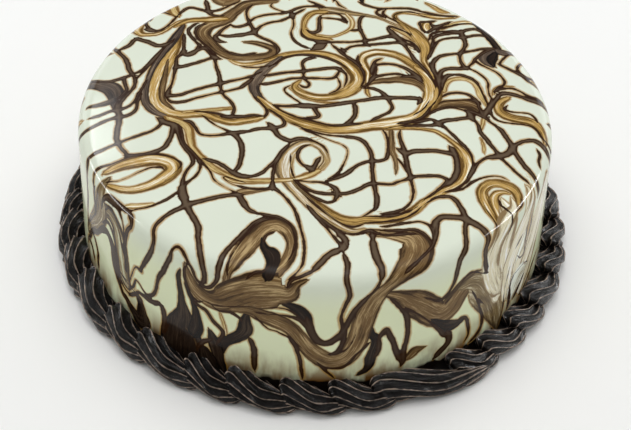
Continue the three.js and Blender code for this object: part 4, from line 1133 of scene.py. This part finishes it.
def ribbon_colour(tree, name, ground, edge):
    """The ground with one layer of streaked ribbons over it."""
    layer = node(tree, "ShaderNodeAttribute", out=1, attribute_name=name)
    across = node(tree, "ShaderNodeSeparateXYZ", {0: layer})
    half = across.node.outputs[1]
    more = node(tree, "ShaderNodeAttribute", out=1, attribute_name=name + "_more")
    along = node(tree, "ShaderNodeSeparateXYZ", {0: more})
    tone = along.node.outputs[1]
    seed = along.node.outputs[2]

    # Streaks run along the ribbon, some 14 mm long, and draw together where it narrows. They are half
    # a millimetre apart in a narrow ribbon and nearly a millimetre in a broad one.
    share = node(tree, "ShaderNodeMath", {0: across, 1: half}, operation="DIVIDE")
    spread = node(tree, "ShaderNodeMath", {0: half, 1: 0.22, 2: 0.75}, operation="MULTIPLY_ADD")
    spread = node(tree, "ShaderNodeMath", {0: share, 1: spread}, operation="MULTIPLY")
    slow = node(tree, "ShaderNodeMath", {0: along, 1: 0.022}, operation="MULTIPLY")
    far = node(tree, "ShaderNodeMath", {0: seed, 1: 3.7}, operation="MULTIPLY")
    where = node(tree, "ShaderNodeCombineXYZ", {0: spread, 1: slow, 2: far})
    streak = node(tree, "ShaderNodeTexNoise",
                  {"Vector": where, "Scale": 3.2, "Detail": 5.0, "Roughness": 0.72, "Distortion": 0.15})
    wide = node(tree, "ShaderNodeCombineXYZ", {0: share, 1: slow, 2: far})
    wide = node(tree, "ShaderNodeTexNoise", {"Vector": wide, "Scale": 1.1, "Detail": 1.0})
    wide = node(tree, "ShaderNodeMapRange", {0: wide, 1: 0.3, 2: 0.7, 3: -0.3, 4: 0.2})
    milk = node(tree, "ShaderNodeMapRange", {0: streak, 1: 0.28, 2: 0.72})
    milk = node(tree, "ShaderNodeMath", {0: milk, 1: wide}, operation="ADD")

    # Chocolate gathers at the edges, here in a broad band and there in a thin one.
    sign = node(tree, "ShaderNodeMath", {0: across}, operation="SIGN")
    patch = node(tree, "ShaderNodeCombineXYZ", {0: sign, 1: slow, 2: far})
    patch = node(tree, "ShaderNodeTexNoise", {"Vector": patch, "Scale": 2.6, "Detail": 1.0})
    band = node(tree, "ShaderNodeMapRange", {0: patch, 1: 0.35, 2: 0.65, 3: 0.7, 4: 3.2})
    most = node(tree, "ShaderNodeMath", {0: half, 1: 0.8}, operation="MULTIPLY")
    band = node(tree, "ShaderNodeMath", {0: band, 1: most}, operation="MINIMUM")
    inside = node(tree, "ShaderNodeMath", {0: edge, 1: -0.15}, operation="SUBTRACT")
    inside = node(tree, "ShaderNodeMath", {0: inside, 1: band}, operation="DIVIDE")
    rich = node(tree, "ShaderNodeMapRange", {0: patch, 1: 0.35, 2: 0.6, 3: -0.4, 4: -0.75})
    inside = node(tree, "ShaderNodeMapRange", {0: inside, 1: 0.0, 2: -1.0, 3: rich, 4: 0.04})
    milk = node(tree, "ShaderNodeMath", {0: milk, 1: inside}, operation="ADD")

    # The tone picks the three colours that the streaks go between.
    pick = node(tree, "ShaderNodeMath", {0: tone, 1: 0.5}, operation="ADD")
    pick = node(tree, "ShaderNodeMath", {0: pick, 1: float(len(TONES))}, operation="DIVIDE")
    colours = []
    for which in range(3):
        stops = [(i / len(TONES), (*linear(look[which]), 1))
                 for i, look in enumerate(TONES.values())]
        colours.append(node(tree, "ShaderNodeValToRGB", {0: pick}))
        set_steps(colours[-1], stops)
    light, middling, dark = colours
    pale = node(tree, "ShaderNodeMapRange", {0: milk, 1: 0.52, 2: 0.86})
    pure = node(tree, "ShaderNodeMapRange", {0: milk, 1: 0.4, 2: 0.02})
    colour = node(tree, "ShaderNodeMix", {0: pale, 6: middling, 7: light}, out=2, data_type="RGBA")
    colour = node(tree, "ShaderNodeMix", {0: pure, 6: colour, 7: dark}, out=2, data_type="RGBA")

    covered = node(tree, "ShaderNodeMapRange", {0: edge, 1: -0.25, 2: 0.2, 3: 1.0, 4: 0.0},
                   interpolation_type="SMOOTHSTEP")
    return node(tree, "ShaderNodeMix", {0: covered, 6: ground, 7: colour}, out=2, data_type="RGBA")


def cream_material(settings):
    """Chocolate buttercream, piped through a star nozzle: close-grained, with a soft, greasy shine."""
    material, tree, shader = new_material("piped_chocolate_buttercream")
    place = node(tree, "ShaderNodeTexCoord", out=3)
    mottle = node(tree, "ShaderNodeTexNoise", {"Vector": place, "Scale": 240.0, "Detail": 4.0})
    tint = node(tree, "ShaderNodeMapRange", {0: mottle, 1: 0.3, 2: 0.7, 3: 0.75, 4: 1.35})
    colour = node(tree, "ShaderNodeMix", {0: 1.0, 6: (*settings.cream, 1), 7: tint}, out=2,
                  data_type="RGBA", blend_type="MULTIPLY")

    # A painted highlight runs along the edges of the ridges, in a paler line about half a millimetre wide.
    piping = node(tree, "ShaderNodeAttribute", out=1, attribute_name="piping")
    crest = node(tree, "ShaderNodeSeparateXYZ", {0: piping})
    around = crest.node.outputs[1]
    along = crest.node.outputs[2]
    crest_breakup = node(tree, "ShaderNodeTexNoise", {"Vector": place, "Scale": 420.0, "Detail": 2.0})
    crest_breakup = node(tree, "ShaderNodeMapRange", {0: crest_breakup, 1: 0.35, 2: 0.65, 3: -0.15, 4: 0.15})
    crest = node(tree, "ShaderNodeMath", {0: crest, 1: crest_breakup}, operation="ADD")
    crest = node(tree, "ShaderNodeMapRange", {0: crest, 1: 0.05, 2: 0.36, 3: 1.0, 4: 0.0})
    colour = node(tree, "ShaderNodeMix", {0: crest, 6: colour, 7: (*settings.crest, 1)}, out=2,
                  data_type="RGBA")
    tree.links.new(colour, shader.inputs["Base Color"])

    # The nozzle combs fine lines, some half a millimetre apart, into the grooves.
    slow = node(tree, "ShaderNodeMath", {0: along, 1: 0.09}, operation="MULTIPLY")
    comb = node(tree, "ShaderNodeCombineXYZ", {0: around, 1: slow})
    comb = node(tree, "ShaderNodeTexNoise", {"Vector": comb, "Scale": 1.9, "Detail": 2.0})
    bump = node(tree, "ShaderNodeBump", {"Height": comb, "Strength": 1.0, "Distance": 0.8 * MM})

    # Grain of two thirds of a millimetre and finer
    grain = node(tree, "ShaderNodeTexNoise", {"Vector": place, "Scale": 1500.0, "Detail": 3.0})
    bump = node(tree, "ShaderNodeBump",
                {"Height": grain, "Normal": bump, "Strength": 0.3, "Distance": 0.12 * MM})
    tree.links.new(bump, shader.inputs["Normal"])
    shader.inputs["Roughness"].default_value = 0.17
    shader.inputs["IOR"].default_value = 1.47
    shader.inputs["Specular IOR Level"].default_value = 0.36
    return material


def cut_drum(rim, step):
    """A cylinder as large as the cake, with a rounded top edge, cut into faces as small as a step."""
    around = round(2 * math.pi * CAKE_RADIUS / step / 2) * 2
    bpy.ops.object.select_all(action="DESELECT")
    bpy.ops.mesh.primitive_cylinder_add(
        vertices=around, radius=CAKE_RADIUS, depth=CAKE_HEIGHT, location=(0, 0, CAKE_HEIGHT / 2))
    piece = bpy.context.object
    mesh = piece.data

    # The top edge is rounded.
    tools = bpy.context.tool_settings
    tools.mesh_select_mode = (False, True, False)
    select_only(mesh, edges_where(mesh, lambda a, b: a > 0 and b > 0))
    bpy.ops.object.mode_set(mode="EDIT")
    bpy.ops.mesh.bevel(offset=rim, segments=math.ceil(rim * math.pi / 2 / step), profile=0.5,
                       affect="EDGES", clamp_overlap=False)
    bpy.ops.object.mode_set(mode="OBJECT")

    # The side is cut into rows.
    select_only(mesh, edges_where(mesh, lambda a, b: abs(a - b) > CAKE_HEIGHT / 2))
    bpy.ops.object.mode_set(mode="EDIT")
    bpy.ops.mesh.subdivide(number_cuts=math.ceil((CAKE_HEIGHT - rim) / step) - 1)
    bpy.ops.object.mode_set(mode="OBJECT")

    # The top is inset ring by ring, down to a small face that is split from its middle.
    tools.mesh_select_mode = (False, False, True)
    select_only(mesh, [face for face in mesh.polygons
                       if len(face.vertices) > 4 and face.center.z > 0])
    bpy.ops.object.mode_set(mode="EDIT")
    rings = round((CAKE_RADIUS - rim) / step)
    for _ in range(rings - 1):
        bpy.ops.mesh.inset(thickness=(CAKE_RADIUS - rim) / rings, use_even_offset=False)
    bpy.ops.mesh.poke()
    bpy.ops.object.mode_set(mode="OBJECT")
    bpy.ops.object.shade_smooth()
    return piece


def make_oval(piece):
    """Draws a round outline out along one axis and in along the other, and centres it."""
    piece.rotation_euler.z = -OVAL_TOWARD
    place_in_mesh(piece)
    piece.scale = (1 + OVAL / CAKE_RADIUS, 1 - OVAL / CAKE_RADIUS, 1)
    place_in_mesh(piece)
    piece.rotation_euler.z = OVAL_TOWARD
    piece.location = (MIDDLE.x, MIDDLE.y, 0)
    place_in_mesh(piece)


def vertex_values(mesh, name):
    """Three values of each vertex, such as its place or its normal."""
    values = np.empty(len(mesh.vertices) * 3)
    mesh.vertices.foreach_get(name, values)
    return values.reshape(-1, 3)


class CAKE_OT_glaze(bpy.types.Operator):
    """Models the glazed cake and draws its marbling"""
    bl_idname = "cake.glaze"
    bl_label = "Glazed cake"

    def execute(self, context):
        settings = context.scene.cake_glaze
        rim = settings.rim_radius
        piece = cut_drum(rim, settings.mesh_step)
        piece.name = "marbled_glaze"
        make_oval(piece)

        # The marks go on before the top falls, so they are measured on the plain shape.
        mesh = piece.data
        places = vertex_values(mesh, "co")
        normals = vertex_values(mesh, "normal")
        for name, layer in zip(LINE_LAYERS, line_layers(places, normals, rim)):
            add_vectors(mesh, name, layer)
        for name, layer in zip(RIBBON_LAYERS, ribbon_layers(places, normals, rim)):
            add_vectors(mesh, name, layer[:, :3])
            add_vectors(mesh, name + "_more", layer[:, 3:])

        # The glaze domes: its top falls a little toward the rim.
        reach = np.hypot(places[:, 0] - MIDDLE.x, places[:, 1] - MIDDLE.y)
        fall = settings.dome * smooth(reach, DOME_FROM * CAKE_RADIUS, DOME_TO * CAKE_RADIUS)
        places[:, 2] -= fall * smooth(places[:, 2], DOME_UP_FROM * CAKE_HEIGHT, CAKE_HEIGHT)
        mesh.vertices.foreach_set("co", places.ravel())
        mesh.update()
        mesh.materials.append(glaze_material(settings))
        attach(piece, "root")
        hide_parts("glazed_cake")
        return {"FINISHED"}


def shell_joints():
    """The angles at which one shell ends and the next begins."""
    joints = [FIRST_JOINT, *RIGHT_JOINTS]
    gap = (LEFT_JOINTS[0] - RIGHT_JOINTS[-1]) / BACK_SHELLS
    joints.extend(RIGHT_JOINTS[-1] + gap * i for i in range(1, BACK_SHELLS))
    joints.extend((*LEFT_JOINTS, FIRST_JOINT + 360 + LAST_PAST))
    return [math.radians(joint) for joint in joints]


def shell_sizes(count):
    """Each shell's size, by the same seeded draw as the solids'."""
    factor, step, span = 1664525, 1013904223, 2 ** 32
    state = SHELL_SEED
    sizes = []
    for _ in range(count):
        state = (state * factor + step) % span
        sizes.append(1 + SIZE_SPREAD * (2 * state / span - 1))
    return sizes


def shape_shell(mesh, start, end, size, settings, is_last, seed):
    """Bends a cylinder along Z round the cake's foot as one piped shell."""
    place = vertex_values(mesh, "co")
    along = -HEAD_BACK + (1 + TAIL_PAST + HEAD_BACK) * (place[:, 2] + 0.5)
    ahead = np.clip(along, 0, 1)
    behind = np.clip(-along / HEAD_BACK, 0, 1)
    share = np.hypot(place[:, 0], place[:, 1])
    turn = np.arctan2(-place[:, 1], place[:, 0])
    draw = np.random.default_rng(seed)

    # Sharp crests with hollow grooves between them
    cell = 2 * math.pi / settings.ridges
    off = np.abs((turn + cell / 2) % cell - cell / 2) / (cell / 2)
    groove = 1 - (1 - off) ** 2
    depth = settings.ridge_depth / settings.half_width * draw.uniform(0.85, 1.15)

    # Over the back of the head the ridges rise inward. Then they wind outward, and a little back.
    outward = 1 - (1 - np.minimum(ahead / WOUND_BY, 1) ** SLOW_START) ** 2
    winding = settings.ridge_turn * outward * draw.uniform(0.9, 1.15)
    winding -= settings.ridge_return * smooth(ahead, *WIND_BACK)
    winding += settings.back_turn * behind ** 1.2
    wound = turn - winding + draw.uniform(-0.07, 0.07)

    closing = np.clip((along - 1 - TAIL_PAST) / TAIL_ROUND + 1, 0, 1)
    nose = np.sqrt(np.clip(1 - behind ** 2, BLUNT, 1) * np.clip(1 - closing ** 2, BLUNT, 1))
    swelling = np.sin(np.clip(along / HEAD_FULL, 0, 1) * math.pi / 2)
    head = settings.head_scale + (1 - settings.head_scale) * swelling
    tail_width, tail_height, tail_out = LAST_TAIL if is_last else (
        settings.tail_width, settings.tail_height, settings.tail_out)
    wide = size * head * (1 + (tail_width - 1) * smooth(ahead, NARROWS_FROM, 1))
    high = size * head * (1 + (tail_height - 1) * smooth(ahead, LOWERS_FROM, 1))
    middle_out = HEAD_OUT + (tail_out - HEAD_OUT) * smooth(ahead, LEAVES_FROM, 1)
    middle_up = HEAD_UP - TAIL_LOWER * ahead
    reach = np.where(share < 0.5, 0, 1 - depth * groove)  # 0 for the middles of the two ends

    # The hand that pipes isn't steady: ridges swell and lean by a few tenths of a millimetre.
    phases = draw.uniform(0, 2 * math.pi, 4)
    uneven = 0.014 * np.sin(9 * along + phases[0]) + 0.02 * np.sin(3 * turn + 7 * along + phases[1])
    uneven += 0.014 * np.sin(5 * turn - 11 * along + phases[2])
    reach = reach * (1 + uneven) * nose
    out = middle_out + wide * settings.half_width * reach * np.cos(wound)
    up = high * (middle_up + settings.half_height * reach * np.sin(wound))
    out = np.maximum(-INTO_WALL, out)
    up = np.maximum(0, up)
    lean = (up - JOINT_HEIGHT) * JOINT_LEAN / CAKE_RADIUS
    angle = start + (end - start) * along - lean
    radius = wall_radius(angle) + out
    mesh.vertices.foreach_set("co", round_cake(angle, radius, up).ravel())

    # For the material, in millimetres: from the nearest crest, round the pipe, and along the shell
    arc = wide * settings.half_width / MM
    length = (end - start) * CAKE_RADIUS / MM
    piping = np.column_stack((off * cell / 2 * arc, (turn + seed) * arc, along * length))
    add_vectors(mesh, "piping", piping)
    mesh.update()


class CAKE_OT_shells(bpy.types.Operator):
    """Models the border of piped shells"""
    bl_idname = "cake.shells"
    bl_label = "Piped shells"

    def execute(self, context):
        settings = context.scene.cake_shells

        # All the shells are shaped from one plain cylinder.
        bpy.ops.object.select_all(action="DESELECT")
        bpy.ops.mesh.primitive_cylinder_add(
            vertices=settings.ridges * AROUND_STEPS, radius=1, depth=1, end_fill_type="TRIFAN",
            location=(0, 0, 0))
        pattern = context.object
        context.tool_settings.mesh_select_mode = (False, True, False)
        select_only(pattern.data, edges_where(pattern.data, lambda a, b: abs(a - b) > 0.5))
        bpy.ops.object.mode_set(mode="EDIT")
        bpy.ops.mesh.subdivide(number_cuts=ALONG_STEPS - 1)
        bpy.ops.object.mode_set(mode="OBJECT")
        bpy.ops.object.shade_smooth()
        material = cream_material(settings)
        pattern.data.materials.append(material)

        joints = shell_joints()
        sizes = shell_sizes(len(joints) - 1)
        for i, size in enumerate(sizes):
            piece = pattern.copy()
            piece.data = pattern.data.copy()
            context.collection.objects.link(piece)
            piece.name = f"piped_shell_{i + 1:02d}"
            is_last = i + 1 == len(sizes)
            shape_shell(piece.data, joints[i], joints[i + 1], size, settings, is_last, i)
            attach(piece, "root")
            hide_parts(f"shell_{i + 1:02d}")
        bpy.data.objects.remove(pattern)
        return {"FINISHED"}


def area_light(name, ends, width, strength, colour=(1, 1, 1)):
    """A soft rectangular light between two places, in metres from the cake's middle, facing the cake.
    Its strength is how bright it looks."""
    one, other = (Vector(end) for end in ends)
    run = (other - one).normalized()
    middle = (one + other) / 2
    back = (middle - run * middle.dot(run)).normalized()
    lamp = bpy.data.lights.new(name, "AREA")
    lamp.shape = "RECTANGLE"
    lamp.size = (other - one).length
    lamp.size_y = width
    lamp.energy = strength * math.pi * lamp.size * width
    lamp.color = colour
    light = bpy.data.objects.new(name, lamp)
    turn = Matrix((run, back.cross(run), back)).transposed().to_4x4()
    light.matrix_world = Matrix.Translation(middle + Vector((MIDDLE.x, MIDDLE.y, 0))) @ turn
    bpy.context.collection.objects.link(light)
    return light


def glint_light(*settings):
    """An area light that shows in reflections alone."""
    area_light(*settings).visible_diffuse = False


class CAKE_OT_stage(bpy.types.Operator):
    """Sets up the floor, the lights and the camera"""
    bl_idname = "cake.stage"
    bl_label = "Stage"

    def execute(self, context):
        settings = context.scene.cake_stage
        scene = context.scene
        bpy.ops.object.select_all(action="DESELECT")
        bpy.ops.mesh.primitive_plane_add(size=settings.floor_size, location=(0, 0, 0))
        floor = context.object
        floor.name = "floor"
        material, tree, shader = new_material("matt_pale_floor")
        shader.inputs["Base Color"].default_value = (*settings.floor_colour, 1)
        shader.inputs["Roughness"].default_value = 0.7
        floor.data.materials.append(material)

        # The room is dim at the height of the cake and bright overhead.
        world = bpy.data.worlds.new("soft_room")
        world.use_nodes = True
        tree = world.node_tree
        overhead = node(tree, "ShaderNodeTexCoord")
        overhead = node(tree, "ShaderNodeSeparateXYZ", {0: overhead}, out=2)
        overhead = node(tree, "ShaderNodeMath", {0: overhead, 1: 0.0}, operation="MAXIMUM")
        overhead = node(tree, "ShaderNodeMath", {0: overhead, 1: 8.0}, operation="POWER")
        overhead = node(tree, "ShaderNodeMapRange", {0: overhead, 3: 0.3, 4: 3.45})
        tree.links.new(overhead, tree.nodes["Background"].inputs["Strength"])
        tree.nodes["Background"].inputs["Color"].default_value = (1, 1, 1, 1)
        scene.world = world

        # Two soft lights stand behind the cake, and the others are seen in its gloss alone.
        area_light("left_box", ((-0.75, 0.62, 0.22), (-0.38, 0.9, 0.3)), 0.4, 2.2, SKY)
        glint_light("left_haze", ((-0.228, 0.676, 0.669), (-0.543, 0.578, 0.669)), 0.1, 18, SKY)
        glint_light("left_strip", ((-0.87, 0.42, 0.28), (-0.85, -0.11, 0.55)), 0.06, 40)
        area_light("right_box", ((0.75, 0.62, 0.22), (0.38, 0.9, 0.3)), 0.4, 2.6, SKY)
        glint_light("right_strip", ((0.87, 0.42, 0.28), (0.85, -0.11, 0.55)), 0.09, 50)

        lens = bpy.data.cameras.new("camera")
        lens.lens = settings.lens
        lens.sensor_width = 36
        lens.clip_start = 0.05
        camera = bpy.data.objects.new("camera", lens)
        place = Vector(CAMERA_PLACE)
        facing = (Vector(CAMERA_AIM) - place).to_track_quat("-Z", "Y").to_matrix()
        turn = facing @ Matrix.Rotation(settings.roll, 3, "Z")
        camera.matrix_world = Matrix.Translation(place + Vector((MIDDLE.x, MIDDLE.y, 0))) @ turn.to_4x4()
        context.collection.objects.link(camera)
        scene.camera = camera
        scene.view_settings.view_transform = "Standard"
        return {"FINISHED"}


class CAKE_PT_panel(bpy.types.Panel):
    bl_label = "Marbled Cream Cake"
    bl_space_type = "VIEW_3D"
    bl_region_type = "UI"
    bl_category = "Cake"

    def draw(self, context):
        for operator, group in PARTS:
            box = self.layout.box()
            box.operator(operator.bl_idname)
            settings = getattr(context.scene, group)
            for name in settings.__annotations__:
                box.prop(settings, name)


PARTS = (
    (CAKE_OT_stage, "cake_stage"),
    (CAKE_OT_glaze, "cake_glaze"),
    (CAKE_OT_shells, "cake_shells"),
)
GROUPS = {"cake_stage": StageSettings, "cake_glaze": GlazeSettings, "cake_shells": ShellSettings}
CLASSES = (*GROUPS.values(), *(operator for operator, _ in PARTS), CAKE_PT_panel)


def register():
    """Adds the settings, the operators and the panel."""
    for item in CLASSES:
        bpy.utils.register_class(item)
    for name, group in GROUPS.items():
        setattr(bpy.types.Scene, name, bpy.props.PointerProperty(type=group))


def unregister():
    """Removes the panel, the operators and the settings."""
    for name in GROUPS:
        delattr(bpy.types.Scene, name)
    for item in reversed(CLASSES):
        bpy.utils.unregister_class(item)


def main():
    """Makes the whole scene."""
    register()
    bpy.ops.cake.stage()
    bpy.ops.cake.glaze()
    bpy.ops.cake.shells()


if __name__ == "__main__":
    main()
